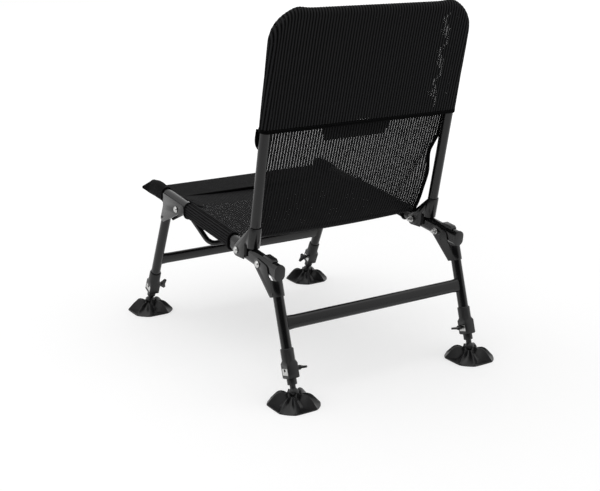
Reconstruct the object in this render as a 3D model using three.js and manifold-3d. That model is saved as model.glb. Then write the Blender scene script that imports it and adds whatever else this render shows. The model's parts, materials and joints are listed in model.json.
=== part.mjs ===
// A low folding fishing chair.
// Two flat-oval rails carry a mesh seat, a backrest that folds forward onto it, and two leg frames
// that fold in under it. Each leg holds a sliding inner leg, clamped by a wing screw, that ends in a
// ball with a tilting mud foot.
// Millimetres, +Z up. The sitter faces -Y, and +X is the sitter's left.
// The origin is on the floor, midway between the four feet.
import * as THREE from "three";
import { mergeVertices } from "three/addons/utils/BufferGeometryUtils.js";
import Module from "manifold-3d";

const wasm = await Module();
wasm.setup();

const degree = Math.PI / 180;

// Clearances and cutting
const clearance = 0.3; // gap between pieces that touch
const clothGap = 0.4; // gap between fabric and what it covers
const overrun = 2; // how far a cutting body runs past what it cuts
const weldOverlap = 1; // how far the two halves of one pressed bracket run into each other
const mergeTolerance = 1e-4; // vertices closer than this are one vertex

// Whole chair
const frameHalfWidth = 229; // centre plane of rails, uprights and legs
const footHalfBase = 326; // front and rear feet, from the middle
const ballHeight = 26; // centre of each foot's ball above the floor

// Seat frame
const railAxisHeight = 289.4; // rail axis above the floor, midway between the feet
const seatPitch = 6.17 * degree; // the rails rise to the front
const railWidth = 22;
const railHeight = 32.4;
const railWall = 1.5;
const railRearEnd = 272;
const railFrontEnd = -288;
const frontTubeSetback = 12.6; // its axis behind the rails' front ends
const frontTubeStation = railFrontEnd + frontTubeSetback;
const frontTubeDrop = 11; // below the rail axis
const braceRadius = 6;
const braceWall = 1.2;
const braceStation = -99; // where the brace leaves the rails
const braceSetback = 44.5; // how far its middle lies behind its ends
const braceDrop = 64.5; // its middle below the rail axis
const braceInset = 26; // its bends, in from the rails
const braceBendRadius = 22;
const braceBendSteps = 5;

// Round tube of the legs and the backrest
const tubeRadius = 11;
const tubeWall = 1.5;

// Pivots, each a station along the rails and how far it lies below the rail axis
const backrestPivot = [125.9, -4.4];
const rearLegPivot = [211.5, -3];
const frontLegPivot = [-145.8, -8.8];
const boltRadius = 3;
const boltHeadRadius = 6.5;
const boltHeadHeight = 3.4;
const washerRadius = 7.5;
const washerThickness = 1.2;
const nutAcrossFlats = 10;
const nutHeight = 6;
const boltEndLength = 4;

// Pressed brackets
const bracketSheet = 2;
const eyeRadius = 12.5; // plate around a pivot

// Backrest
const backrestLean = 11.15 * degree;
const backrestStation = 170.2; // where the uprights' axis crosses the rail axis
const backrestTopRise = 493.3; // axis of the top tube, along the uprights from the rail axis
const backrestBendRadius = 50;
const backrestBendSteps = 8;
const backBracketTop = 62;
const backBracketNotchTop = 20.3; // the notch that clears the stop, above the rail axis
const backEarLift = 4; // the ear's bottom edge rises this much from the pivot to the notch

// Backrest stop, a saddle over the rail
const stopStation = 163.5;
const stopLength = 9.4;
const stopTop = 20;
const stopBottom = -3;
const stopSide = 2.2;

// Rail end caps and pads
const capBorder = 1;
const capThickness = 4;
const plugDepth = 10;
const padStation = 239;
const padLength = 36;
const padWidth = 13;
const padHeight = 5;

// Rear legs. A drop is measured along the leg, down from the pivot.
const rearPivotOffset = -39.66; // the pivot from the legs' axis, to the rear
const rearLegDrop = 44.51; // top of the outer leg
const rearBracketDrop = 68.51; // bottom of the bracket
const rearEarStepDrop = 27.51; // where the ear steps out to the web
const rearBarHeight = 138; // crossbar, along the leg from the ball
const rearEarTop = 6.5; // above the rail axis
const rearEarBack = -4; // the ear's rear edge, from the leg's axis

// Front legs
const frontPivotOffset = 54.58;
const frontLegDrop = 52.2;
const frontBracketDrop = 68.2;
const frontBarHeight = 128;
const frontEarTop = 9.5; // above the rail axis
const frontEarStart = -211; // the ear's front edge beside the rail
const frontEarEnd = -109; // the ear runs on behind the pivot to here
const frontEarEndRadius = 10;

// Crossbars, flat-oval with flared ends
const barHeight = 28;
const barThickness = 15;
const barWall = 1.5;
const barFlare = 3; // how much taller the ends are
const barFlareLength = 14;

// Clamp housing at the bottom of each outer leg, measured from the ball along the leg
const clampBottom = 29;
const clampBoxTop = 59;
const clampShoulderTop = 65;
const clampTop = 89;
const clampHalfWidth = 12.8;
const clampHalfDepth = 14;
const clampCollarRadius = 13.6;
const clampChamfer = 3;
const legTubeBottom = 51;
const windowHalfDepth = 10.4;
const windowBottom = 36;
const windowTop = 50;
const windowFloor = 9.8; // depth that the windows are cut to, from the leg's axis

// Wing screw and its nut plate
const wingHeight = 46; // screw axis, along the leg from the ball
const nutPlateThickness = 3;
const screwRadius = 3;
const wingHubRadius = 5;
const wingHubStart = 15.5;
const wingStart = 19;
const wingEnd = 34;
const wingRootHalf = 4.5;
const wingTipHalf = 13;
const wingThickness = 4;

// Inner leg and ball stem, measured from the ball along the leg
const innerLegWall = 1.2;
const innerLegTop = 182;
const stemCollarRadius = 10;
const stemCollarBottom = 16;
const stemNeckRadius = 6;
const stemPlugLength = 16;
const ballRadius = 10.5;

// Mud foot
const footRadius = 54;
const footLugHalfAngle = 20 * degree;
const footRimHeight = 4;
const footShoulderRadius = 18;
const footShoulderHeight = 13;
const socketRadius = 15.2;
const socketRise = 3; // top of the socket above the ball's centre
const socketSlotWidth = 2.4;
const socketSlotDepth = 10;
const footFlatShare = 0.985; // the flats between the lugs, as a share of the lugs' radius
const petalTop = 22.5; // height of the petals' two ridges at the socket
const petalTip = 5.2; // and at the rim
const petalHalfStart = 3.2; // from a petal's middle to its ridges, at the socket
const petalHalfEnd = 12; // and at the rim
const ridgeWidth = 1.8;
const petalSkirt = 2.2; // how much wider the petals' foot is
const scoopStart = 20; // distances along the scoop between the ridges, with its floor's height there
const scoopStartFloor = 19.5;
const scoopMiddle = 38;
const scoopMiddleFloor = 6;
const scoopEndFloor = 1.8;

// Fabric
const clothThickness = 2;
const hemHeight = 8;
const hemExtra = 1;
const hoodHem = 265; // lower edge of the backrest hood, along the uprights from the rail axis
const hoodSideShare = 0.5; // how far down the hood's corners start to turn, as a share of the bend
const panelEdgeShares = [
  // the back panel's side edge: its rise as a share of the hood's hem, and its half width as a share
  // of the frame's
  [0.1113, 0.8821],
  [0.1698, 0.8865],
  [0.2981, 0.9127],
  [0.4566, 0.9432],
  [0.566, 0.9301],
  [0.6491, 0.9301],
  [0.8113, 0.9956],
  [0.9434, 1.0262],
];
const patchTopHalf = 89;
const patchBottomHalf = 75;
const patchTop = 259;
const patchHeight = 33;
const patchThickness = 1.4;
const seatClothRise = 12; // top of the seat panel's edges above the rail axis
const seatFrontDip = 8; // how much lower its front edge lies
const seatSag = 8; // how much lower the middle of the seat hangs
const seatCutHalf = 197; // seat panel's half width where the leg brackets stand
const seatCutRear = -107;
const seatPanelRear = 96; // where the seat panel starts to turn up to the back panel
const sleeveFront = -105.5;
const sleeveRear = 90;
const frontHoodRear = -192; // rear edge of the front hood's top layer
const frontHoodRailEnd = -218; // where the front hood ends on the rails
const frontHoodTip = 14; // how far its corners stick out

const painted = { color: 0x1b1c1e, roughness: 0.42, metalness: 0.6 };
const zinc = { color: 0xb9bcc0, roughness: 0.35, metalness: 0.9 };
const plastic = { color: 0x17181a, roughness: 0.55, metalness: 0 };
const cloth = { color: 0x202124, roughness: 0.9, metalness: 0 };
const darkCloth = { color: 0x121315, roughness: 0.95, metalness: 0 };

// A tilted side view: a point on the floor plan's Y and its height, and how far the frame's up axis
// leans to the rear. Local coordinates are x, along (to the rear) and up.
class SideFrame {
  constructor([y, z], lean) {
    this.origin = [y, z];
    this.lean = lean;
  }
  out([along, up]) {
    const c = Math.cos(this.lean);
    const s = Math.sin(this.lean);
    return [this.origin[0] + along * c + up * s, this.origin[1] - along * s + up * c];
  }
  into([y, z]) {
    const c = Math.cos(this.lean);
    const s = Math.sin(this.lean);
    const dy = y - this.origin[0];
    const dz = z - this.origin[1];
    return [dy * c - dz * s, dy * s + dz * c];
  }
  group(x = 0) {
    const group = new THREE.Group();
    group.position.set(x, ...this.origin);
    group.rotation.x = -this.lean;
    return group;
  }
  matrix() {
    const group = this.group();
    group.updateMatrix();
    return group.matrix;
  }
}

const seat = new SideFrame([0, railAxisHeight], seatPitch);
const backrest = new SideFrame(seat.out([backrestStation, 0]), backrestLean);

// A leg's frame starts at its ball, and leans so that the pivot lies at its offset from the leg's axis.
function legFrame(ball, pivot, offset) {
  const [y, z] = seat.out(pivot);
  const [dy, dz] = [y - ball[0], z - ball[1]];
  return new SideFrame(ball, Math.atan2(dy, dz) - Math.asin(offset / Math.hypot(dy, dz)));
}

const rearLeg = legFrame([footHalfBase, ballHeight], rearLegPivot, rearPivotOffset);
const frontLeg = legFrame([-footHalfBase, ballHeight], frontLegPivot, frontPivotOffset);

// Moves a point of one side frame into another.
const between = (from, to, point) => to.into(from.out(point));

const rearEye = between(seat, rearLeg, rearLegPivot);
const rearLegTop = rearEye[1] - rearLegDrop;
const rearBracketBottom = rearEye[1] - rearBracketDrop;
const rearEarStep = rearEye[1] - rearEarStepDrop;
const frontEye = between(seat, frontLeg, frontLegPivot);
const frontLegTop = frontEye[1] - frontLegDrop;
const frontBracketBottom = frontEye[1] - frontBracketDrop;

// Turns a geometry made in one side frame's coordinates into another's.
function reframe(geometry, from, to) {
  const matrix = to.matrix().invert().multiply(from.matrix());
  return geometry.applyMatrix4(matrix);
}

// Solids and booleans
function solid(geometry) {
  const bare = geometry.index ? geometry.toNonIndexed() : geometry.clone();
  bare.deleteAttribute("normal");
  bare.deleteAttribute("uv");
  const merged = mergeVertices(bare, mergeTolerance);
  return new wasm.Manifold(
    new wasm.Mesh({
      numProp: 3,
      vertProperties: merged.attributes.position.array,
      triVerts: new Uint32Array(merged.index.array),
    }),
  );
}

function geometryOf(manifold) {
  const mesh = manifold.getMesh();
  const geometry = new THREE.BufferGeometry();
  geometry.setAttribute("position", new THREE.BufferAttribute(mesh.vertProperties, 3));
  geometry.setIndex(new THREE.BufferAttribute(mesh.triVerts, 1));
  return geometry;
}

const join = (...geometries) =>
  geometryOf(geometries.map(solid).reduce((whole, piece) => whole.add(piece)));

const cut = (geometry, ...tools) =>
  geometryOf(tools.map(solid).reduce((rest, tool) => rest.subtract(tool), solid(geometry)));

// Sections
function disc(radius) {
  const shape = new THREE.Shape();
  shape.absarc(0, 0, radius, 0, 2 * Math.PI);
  return shape;
}

function flatOval(width, height) {
  const r = width / 2;
  const straight = height / 2 - r;
  const shape = new THREE.Shape();
  shape.absarc(0, straight, r, 0, Math.PI);
  shape.absarc(0, -straight, r, Math.PI, 2 * Math.PI);
  shape.closePath();
  return shape;
}

function hollow(outer, inner) {
  outer.holes.push(inner);
  return outer;
}

function rectangle(left, bottom, right, top) {
  return polygon([
    [left, bottom],
    [right, bottom],
    [right, top],
    [left, top],
  ]);
}

const polygon = (points) => new THREE.Shape(points.map(([x, y]) => new THREE.Vector2(x, y)));

// Half a ring, on the rear side of its centre or on the front side.
function halfRing(inner, outer, rear) {
  const start = rear ? 0 : Math.PI;
  const shape = new THREE.Shape();
  shape.absarc(0, 0, outer, start, start + Math.PI);
  shape.absarc(0, 0, inner, start + Math.PI, start, true);
  shape.closePath();
  return shape;
}

// A section run along an axis. Along x its own axes are y and z, along y they are x and z.
function prism(shape, from, to, axis = "z", curveSegments = 8) {
  const geometry = new THREE.ExtrudeGeometry(shape, { depth: to - from, bevelEnabled: false, curveSegments });
  if (axis === "y") {
    geometry.translate(0, 0, -to);
    return geometry.rotateX(Math.PI / 2);
  }
  geometry.translate(0, 0, from);
  if (axis === "x") {
    const turn = new THREE.Matrix4();
    turn.makeBasis(new THREE.Vector3(0, 1, 0), new THREE.Vector3(0, 0, 1), new THREE.Vector3(1, 0, 0));
    geometry.applyMatrix4(turn);
  }
  return geometry;
}

const box = (x0, x1, y0, y1, z0, z1) => prism(rectangle(x0, y0, x1, y1), z0, z1);

// A bar across the chair, centred on a point of the side view.
const crossRod = (radius, from, to, [along, up], curveSegments = 6) =>
  prism(disc(radius), from, to, "x", curveSegments).translate(0, along, up);

// A closed body through rings of points, with the same number of points in each.
function loft(rings) {
  const count = rings[0].length;
  const points = rings.flat().map((p) => new THREE.Vector3(...p));
  const faces = [];
  rings.slice(1).forEach((_, k) => {
    for (let i = 0; i < count; i += 1) {
      const j = (i + 1) % count;
      const a = k * count + i;
      const b = k * count + j;
      faces.push(a, b, b + count, a, b + count, a + count);
    }
  });
  const last = (rings.length - 1) * count;
  for (let i = 1; i < count - 1; i += 1) {
    faces.push(0, i + 1, i);
    faces.push(last, last + i, last + i + 1);
  }
  const geometry = new THREE.BufferGeometry().setFromPoints(points);
  geometry.setIndex(faces);
  return geometry;
}

// Points on an arc in a plane.
function arc([cx, cy], radius, from, to, steps) {
  return Array.from({ length: steps + 1 }, (_, i) => {
    const angle = from + ((to - from) * i) / steps;
    return [cx + radius * Math.cos(angle), cy + radius * Math.sin(angle)];
  });
}

// The direction, seen from a circle's centre, of the point where a line from outside touches it.
function touchAngle([px, py], [cx, cy], radius, turn) {
  const far = Math.hypot(px - cx, py - cy);
  return Math.atan2(py - cy, px - cx) + turn * Math.acos(radius / far);
}

// Plain round bodies
function lathe(profile, segments) {
  const points = profile.map(([r, z]) => new THREE.Vector2(r, z));
  return new THREE.LatheGeometry(points, segments).rotateX(Math.PI / 2);
}

const group = new THREE.Group();

function add(parent, name, geometry, finish) {
  const material = new THREE.MeshStandardMaterial(finish);
  const mesh = new THREE.Mesh(geometry, material);
  mesh.name = name;
  parent.add(mesh);
  return mesh;
}

const sides = [
  { name: "left", x: 1 },
  { name: "right", x: -1 },
];

// Seat frame
const earInner = tubeRadius + clearance;
const earOuter = earInner + bracketSheet;
const boltHole = boltRadius + clearance;
const pivots = [
  { name: "backrest", at: backrestPivot },
  { name: "rear_leg", at: rearLegPivot },
  { name: "front_leg", at: frontLegPivot },
];

const railSpace = (from, to, gap = clearance) =>
  prism(flatOval(railWidth + 2 * gap, railHeight + 2 * gap), from, to, "y");

function makeRail() {
  const section = hollow(
    flatOval(railWidth, railHeight),
    flatOval(railWidth - 2 * railWall, railHeight - 2 * railWall),
  );
  const holes = pivots.map(({ at }) =>
    crossRod(boltHole, -railWidth / 2 - overrun, railWidth / 2 + overrun, at),
  );
  return cut(prism(section, railFrontEnd, railRearEnd, "y"), ...holes);
}

function makeFrontTube() {
  const half = frameHalfWidth - railWidth / 2 - clearance;
  const section = hollow(disc(tubeRadius), disc(tubeRadius - tubeWall));
  return prism(section, -half, half, "x").translate(0, frontTubeStation, -frontTubeDrop);
}

// Rings of points along straight runs with round bends, all in one plane. The ends are run on by a
// length, so that a bore made the same way cuts right through.
function bentRings(corners, radius, bend, bendSteps, ringPoints, runOn = 0) {
  const points = corners.map((p) => new THREE.Vector3(...p));
  const toward = (from, to) => to.clone().sub(from).normalize();
  const first = toward(points[0], points[1]);
  const normal = first.clone().cross(toward(points[1], points[2])).normalize();
  const rings = [];
  const ring = (centre, along) => {
    const across = normal.clone().cross(along);
    const at = (angle) =>
      centre
        .clone()
        .addScaledVector(normal, radius * Math.cos(angle))
        .addScaledVector(across, radius * Math.sin(angle))
        .toArray();
    rings.push(Array.from({ length: ringPoints }, (_, i) => at((-2 * Math.PI * i) / ringPoints)));
  };
  ring(points[0].clone().addScaledVector(first, -runOn), first);
  points.slice(1, -1).forEach((corner, i) => {
    const before = toward(points[i], corner);
    const after = toward(corner, points[i + 2]);
    const turn = before.angleTo(after);
    const enter = corner.clone().addScaledVector(before, -bend * Math.tan(turn / 2));
    const inward = normal.clone().cross(before);
    const centre = enter.clone().addScaledVector(inward, bend);
    for (let k = 0; k <= bendSteps; k += 1) {
      const angle = (turn * k) / bendSteps;
      const spoke = enter.clone().sub(centre).applyAxisAngle(normal, angle);
      ring(centre.clone().add(spoke), before.clone().applyAxisAngle(normal, angle));
    }
  });
  const last = toward(points.at(-2), points.at(-1));
  ring(points.at(-1).clone().addScaledVector(last, runOn), last);
  return rings;
}

function bentRod(corners, radius, bend, bendSteps, ringPoints, runOn = 0) {
  return loft(bentRings(corners, radius, bend, bendSteps, ringPoints, runOn));
}

function bentTube(corners, radius, wall, bend, bendSteps, ringPoints) {
  const outer = bentRod(corners, radius, bend, bendSteps, ringPoints);
  return cut(outer, bentRod(corners, radius - wall, bend, bendSteps, ringPoints, overrun));
}

const braceCorners = [-1, 1].flatMap((x) => {
  // the ends start inside the rails, which then trim them
  const end = [x * frameHalfWidth, braceStation, -railHeight / 2 + braceRadius];
  const bend = [x * (frameHalfWidth - braceInset), braceStation + braceSetback, -braceDrop];
  return x < 0 ? [end, bend] : [bend, end];
});

function makeBrace() {
  const tube = bentTube(braceCorners, braceRadius, braceWall, braceBendRadius, braceBendSteps, 12);
  const trims = sides.map(({ x }) => {
    const [from, to] = [braceStation - braceSetback, braceStation + braceSetback];
    const rail = railSpace(from, to);
    const above = box(-railWidth, railWidth, from, to, 0, railHeight);
    return join(rail, above).translate(x * frameHalfWidth, 0, 0);
  });
  return cut(tube, ...trims);
}

function makeEndCap() {
  const face = railRearEnd + clearance;
  const plate = prism(
    flatOval(railWidth + 2 * capBorder, railHeight + 2 * capBorder),
    face,
    face + capThickness,
    "y",
  );
  const inset = 2 * (railWall + clearance);
  const plugShape = flatOval(railWidth - inset, railHeight - inset);
  const plug = prism(plugShape, face - plugDepth, face + clearance, "y");
  return join(plate, plug);
}

function makePad() {
  const top = railHeight / 2 + padHeight;
  const low = railHeight / 2 - padHeight;
  const half = padLength / 2;
  const profile = polygon([
    [padStation - half, low],
    [padStation + half, low],
    [padStation + half, railHeight / 2 + padHeight / 4],
    [padStation + half - padHeight, top],
    [padStation - half + padHeight, top],
    [padStation - half, railHeight / 2 + padHeight / 4],
  ]);
  const block = prism(profile, -padWidth / 2, padWidth / 2, "x");
  return cut(block, railSpace(padStation - padLength, padStation + padLength));
}

function makeStop() {
  const half = railWidth / 2 + clearance + stopSide;
  const shape = polygon([
    [-half, stopBottom],
    [half, stopBottom],
    [half, stopTop - stopSide],
    [half - stopSide, stopTop],
    [-half + stopSide, stopTop],
    [-half, stopTop - stopSide],
  ]);
  const from = stopStation - stopLength / 2;
  const to = stopStation + stopLength / 2;
  return cut(prism(shape, from, to, "y"), railSpace(from - overrun, to + overrun));
}

// A pivot bolt with its washers and nut. The head is on the outer side.
function makeBolt() {
  const face = earOuter + clearance;
  const headFrom = face + washerThickness;
  const steps = 4;
  const dome = arc([0, 0], 1, 0, Math.PI / 2, steps).map(([c, s]) => [
    boltHeadRadius * c,
    headFrom + boltHeadHeight * s,
  ]);
  const nutRadius = nutAcrossFlats / 2 / Math.cos(Math.PI / 6);
  const profile = [
    [0, -headFrom - nutHeight - boltEndLength],
    [boltRadius, -headFrom - nutHeight - boltEndLength],
    [boltRadius, -headFrom],
    [washerRadius, -headFrom],
    [washerRadius, -face],
    [boltRadius, -face],
    [boltRadius, face],
    [washerRadius, face],
    [washerRadius, headFrom],
    ...dome.slice(0, -1),
    [0, headFrom + boltHeadHeight],
  ];
  const turned = lathe(profile, 12);
  const nut = new THREE.CylinderGeometry(nutRadius, nutRadius, nutHeight + weldOverlap / 2, 6);
  nut.rotateX(Math.PI / 2).translate(0, 0, -headFrom - (nutHeight - weldOverlap / 2) / 2);
  return join(turned, nut).rotateY(Math.PI / 2);
}

const seatGroup = seat.group();
group.add(seatGroup);

sides.forEach(({ name, x }) => {
  const place = x * frameHalfWidth;
  const pieces = [
    ["seat_rail", makeRail(), painted],
    ["rail_end_cap", makeEndCap(), plastic],
    ["rail_pad", makePad(), plastic],
    ["backrest_stop", makeStop(), plastic],
  ];
  pieces.forEach(([piece, geometry, finish]) => {
    add(seatGroup, `${piece}_${name}`, geometry, finish).position.x = place;
  });
  pivots.forEach(({ name: pivot, at }) => {
    const bolt = add(seatGroup, `${pivot}_bolt_${name}`, makeBolt(), zinc);
    bolt.position.set(place, ...at);
    if (x < 0) bolt.rotation.z = Math.PI;
  });
});
add(seatGroup, "front_cross_tube", makeFrontTube(), painted);
add(seatGroup, "seat_brace", makeBrace(), painted);

// Pressed channel brackets: two ears that straddle the rail, joined by a half-round web behind or in
// front of the tube that they hold.
function makeBracket({ outline, webFrom, webTo, webRear, eye, trims = [] }) {
  const ears = sides.map(({ x }) => {
    const inner = x > 0 ? earInner : -earOuter;
    return prism(polygon(outline), inner, inner + bracketSheet, "x");
  });
  const web = prism(halfRing(earInner, earOuter, webRear), webFrom, webTo, "z", 6);
  const hole = crossRod(boltHole, -earOuter - overrun, earOuter + overrun, eye);
  const body = cut(join(...ears, trims.length ? cut(web, ...trims) : web), hole);
  return body;
}

// What lies at or above a height over the rail axis, in another frame's coordinates.
function aboveRail(height, frame) {
  const reach = 2 * frameHalfWidth;
  const half = earOuter + overrun;
  return reframe(box(-half, half, -reach, reach, height, height + reach), seat, frame);
}

function belowRail(height, frame) {
  const reach = 2 * frameHalfWidth;
  return reframe(box(-reach, reach, -reach, reach, height - reach, height), seat, frame);
}

// The eye's outline from one tangent line to the other, the short way round its far side.
function eyeArc(eye, before, after, steps) {
  const from = touchAngle(before, eye, eyeRadius, 1);
  let to = touchAngle(after, eye, eyeRadius, -1);
  while (to < from) to += 2 * Math.PI;
  return arc(eye, eyeRadius, from, to, steps);
}

function makeBackBracket() {
  const toBackrest = (point) => between(seat, backrest, point);
  const eye = toBackrest(backrestPivot);
  const notchFront = stopStation - stopLength / 2 - clearance;
  const notchRear = stopStation + stopLength / 2 + clearance;
  const top = [weldOverlap, backBracketTop];
  // below the pivot the notch's front edge curves in, so that it clears the stop as it swings up
  const reach = notchFront - backrestPivot[0];
  const below = eyeRadius - backEarLift;
  const low = toBackrest([backrestPivot[0] + Math.sqrt(reach ** 2 - below ** 2), backrestPivot[1] - below]);
  const notch = arc([stopStation, backBracketNotchTop], (notchRear - notchFront) / 2, Math.PI, 0, 6);
  const outline = [
    ...eyeArc(eye, [0, backBracketTop], low, 8),
    low,
    toBackrest([notchFront, backrestPivot[1]]),
    ...notch.map(toBackrest),
    toBackrest([notchRear, railHeight / 2 + clearance]),
    [weldOverlap, between(seat, backrest, [backrestStation, railHeight / 2 + clearance])[1]],
    top,
    [0, backBracketTop],
  ];
  return makeBracket({
    outline,
    webFrom: 0,
    webTo: backBracketTop,
    webRear: true,
    eye,
    trims: [belowRail(railHeight / 2 + clearance, backrest)],
  });
}

function makeRearBracket() {
  const toLeg = (point) => between(seat, rearLeg, point);
  const eye = rearEye;
  const topStart = toLeg([rearLegPivot[0], rearEarTop]);
  const rise = Math.tan(seatPitch - rearLeg.lean);
  const cornerTop = topStart[1] - (rearEarBack - topStart[0]) * rise;
  const corner = bracketSheet * 2;
  const outline = [
    [weldOverlap, rearBracketBottom],
    [weldOverlap, rearEarStep - corner],
    [rearEarBack, rearEarStep],
    [rearEarBack, cornerTop - corner],
    [rearEarBack - corner, cornerTop + corner * rise],
    ...eyeArc(eye, [rearEarBack - corner, cornerTop + corner * rise], [-earInner, rearBracketBottom], 10),
    [-earInner, rearBracketBottom],
  ];
  return makeBracket({
    outline,
    webFrom: rearBracketBottom,
    webTo: rearEarStep + railHeight,
    webRear: true,
    eye,
    trims: [aboveRail(-railHeight / 2 - capBorder - clearance, rearLeg)],
  });
}

function makeFrontBracket() {
  const toLeg = (point) => between(seat, frontLeg, point);
  const eye = frontEye;
  const endCentre = toLeg([frontEarEnd - frontEarEndRadius, frontEarTop - frontEarEndRadius]);
  const lowest = [earInner, frontBracketBottom];
  // the lower edge touches the circle around the pivot, then the rounded end
  const touch = touchAngle(lowest, eye, eyeRadius, 1);
  const touchPoint = [eye[0] + eyeRadius * Math.cos(touch), eye[1] + eyeRadius * Math.sin(touch)];
  const endFrom = touchAngle(touchPoint, endCentre, frontEarEndRadius, 1);
  const topAngle = Math.PI / 2 - (seatPitch - frontLeg.lean);
  const outline = [
    [-weldOverlap, frontBracketBottom],
    lowest,
    touchPoint,
    ...arc(endCentre, frontEarEndRadius, endFrom, topAngle, 7),
    toLeg([frontEarStart, frontEarTop]),
    toLeg([frontEarStart, -railHeight / 2]),
    [-weldOverlap, frontLegTop + tubeRadius],
  ];
  return makeBracket({
    outline,
    webFrom: frontBracketBottom,
    webTo: frontLegTop + 3 * tubeRadius,
    webRear: false,
    eye,
    trims: [aboveRail(-railHeight / 2 - clothGap - clothThickness - clearance, frontLeg)],
  });
}

// Backrest
const backrestGroup = backrest.group();
group.add(backrestGroup);

function makeBackrestTube() {
  const corners = [
    [-frameHalfWidth, 0, 0],
    [-frameHalfWidth, 0, backrestTopRise],
    [frameHalfWidth, 0, backrestTopRise],
    [frameHalfWidth, 0, 0],
  ];
  const tube = bentTube(corners, tubeRadius, tubeWall, backrestBendRadius, backrestBendSteps, 16);
  return cut(tube, belowRail(stopTop + clearance, backrest));
}

add(backrestGroup, "backrest_tube", makeBackrestTube(), painted);
sides.forEach(({ name, x }) => {
  add(backrestGroup, `backrest_bracket_${name}`, makeBackBracket(), painted).position.x = x * frameHalfWidth;
});

// The hood: a pocket pulled over the top of the tube.
function hoodBody(halfWidth, top, bottom, halfThickness, corner) {
  const shape = new THREE.Shape();
  const straight = halfWidth - corner;
  shape.moveTo(-halfWidth, bottom);
  shape.lineTo(halfWidth, bottom);
  shape.lineTo(halfWidth, top - corner);
  shape.absarc(straight, top - corner, corner, 0, Math.PI / 2);
  shape.lineTo(-straight, top);
  shape.absarc(-straight, top - corner, corner, Math.PI / 2, Math.PI);
  shape.closePath();
  const flat = halfThickness * (1 - hoodSideShare);
  const geometry = new THREE.ExtrudeGeometry(shape, {
    depth: 2 * flat,
    bevelEnabled: true,
    bevelThickness: halfThickness - flat,
    bevelSize: halfThickness - flat,
    bevelOffset: flat - halfThickness,
    bevelSegments: 2,
    curveSegments: 8,
  });
  return geometry.translate(0, 0, -flat).rotateX(Math.PI / 2);
}

function makeHood() {
  const inner = tubeRadius + clothGap;
  const outer = inner + clothThickness;
  const half = frameHalfWidth + outer;
  const top = backrestTopRise + outer;
  const corner = backrestBendRadius + outer;
  const reach = hoodHem - 2 * hemHeight;
  const shell = cut(
    hoodBody(half, top, reach, outer, corner),
    hoodBody(half - clothThickness, top - clothThickness, reach - hemHeight, inner, corner - clothThickness),
    box(-2 * half, 2 * half, -half, half, 0, hoodHem),
  );
  const hemShape = new THREE.Shape();
  const depth = outer + hemExtra;
  hemShape.moveTo(-half - hemExtra + tubeRadius, 0);
  hemShape.lineTo(half + hemExtra - tubeRadius, 0);
  hemShape.lineTo(half + hemExtra, tubeRadius);
  hemShape.lineTo(half + hemExtra - tubeRadius, depth);
  hemShape.lineTo(-half - hemExtra + tubeRadius, depth);
  hemShape.lineTo(-half - hemExtra, tubeRadius);
  hemShape.closePath();
  const hem = cut(
    prism(hemShape, hoodHem, hoodHem + hemHeight),
    hoodBody(half - clothThickness, top - clothThickness, reach, inner, corner - clothThickness),
  );
  return join(shell, hem);
}

add(backrestGroup, "backrest_hood", makeHood(), cloth);

// The back panel hangs in front of the uprights, in line with the hood's front layer.
const panelFront = -(tubeRadius + clothGap + clothThickness);
const panelEdge = panelEdgeShares.map(([up, half]) => [up * hoodHem, half * frameHalfWidth]);

function makeBackPanel() {
  const right = [...panelEdge.map(([up, half]) => [half, up]), [panelEdge.at(-1)[1], hoodHem - clothGap]];
  const left = right.map(([x, up]) => [-x, up]).reverse();
  const sheet = prism(polygon([...right, ...left]), 0, clothThickness);
  return sheet.rotateX(Math.PI / 2).translate(0, panelFront + clothThickness, 0);
}

// The patch is sewn to the side that faces the sitter.
function makePatch() {
  const shape = polygon([
    [-patchBottomHalf, patchTop - patchHeight],
    [patchBottomHalf, patchTop - patchHeight],
    [patchTopHalf, Math.min(patchTop, hoodHem - clothGap)],
    [-patchTopHalf, Math.min(patchTop, hoodHem - clothGap)],
  ]);
  const sheet = prism(shape, 0, patchThickness);
  return sheet.rotateX(Math.PI / 2).translate(0, panelFront - clearance, 0);
}

add(backrestGroup, "back_panel", makeBackPanel(), cloth);
add(backrestGroup, "back_patch", makePatch(), darkCloth);

// Seat fabric
function makeSleeve() {
  const inner = clothGap;
  const outer = clothGap + clothThickness;
  const section = flatOval(railWidth + 2 * outer, railHeight + 2 * outer);
  const tube = prism(section, sleeveFront, sleeveRear, "y", 6);
  const brace = bentRod(braceCorners, braceRadius + clearance, braceBendRadius, braceBendSteps, 12);
  return cut(
    tube,
    railSpace(sleeveFront - overrun, sleeveRear + overrun, inner),
    brace.translate(-frameHalfWidth, 0, 0),
  );
}

sides.forEach(({ name, x }) => {
  const sleeve = add(seatGroup, `seat_sleeve_${name}`, makeSleeve(), cloth);
  sleeve.position.x = x * frameHalfWidth;
  sleeve.scale.x = x;
});

// How high the seat cloth lies over the rail axis at a share of its half width.
const sagAt = (share) => seatClothRise - clothThickness - seatSag * (1 - share * share);

// A sheet through a grid of points, with a thickness along a direction for each row.
function sheetBody(rows) {
  const rings = rows.map(({ points, normal }) => {
    const over = points.map((p) => p.map((value, i) => value + normal[i] * clothThickness));
    return [...over, ...points.reverse()];
  });
  return loft(rings);
}

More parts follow.
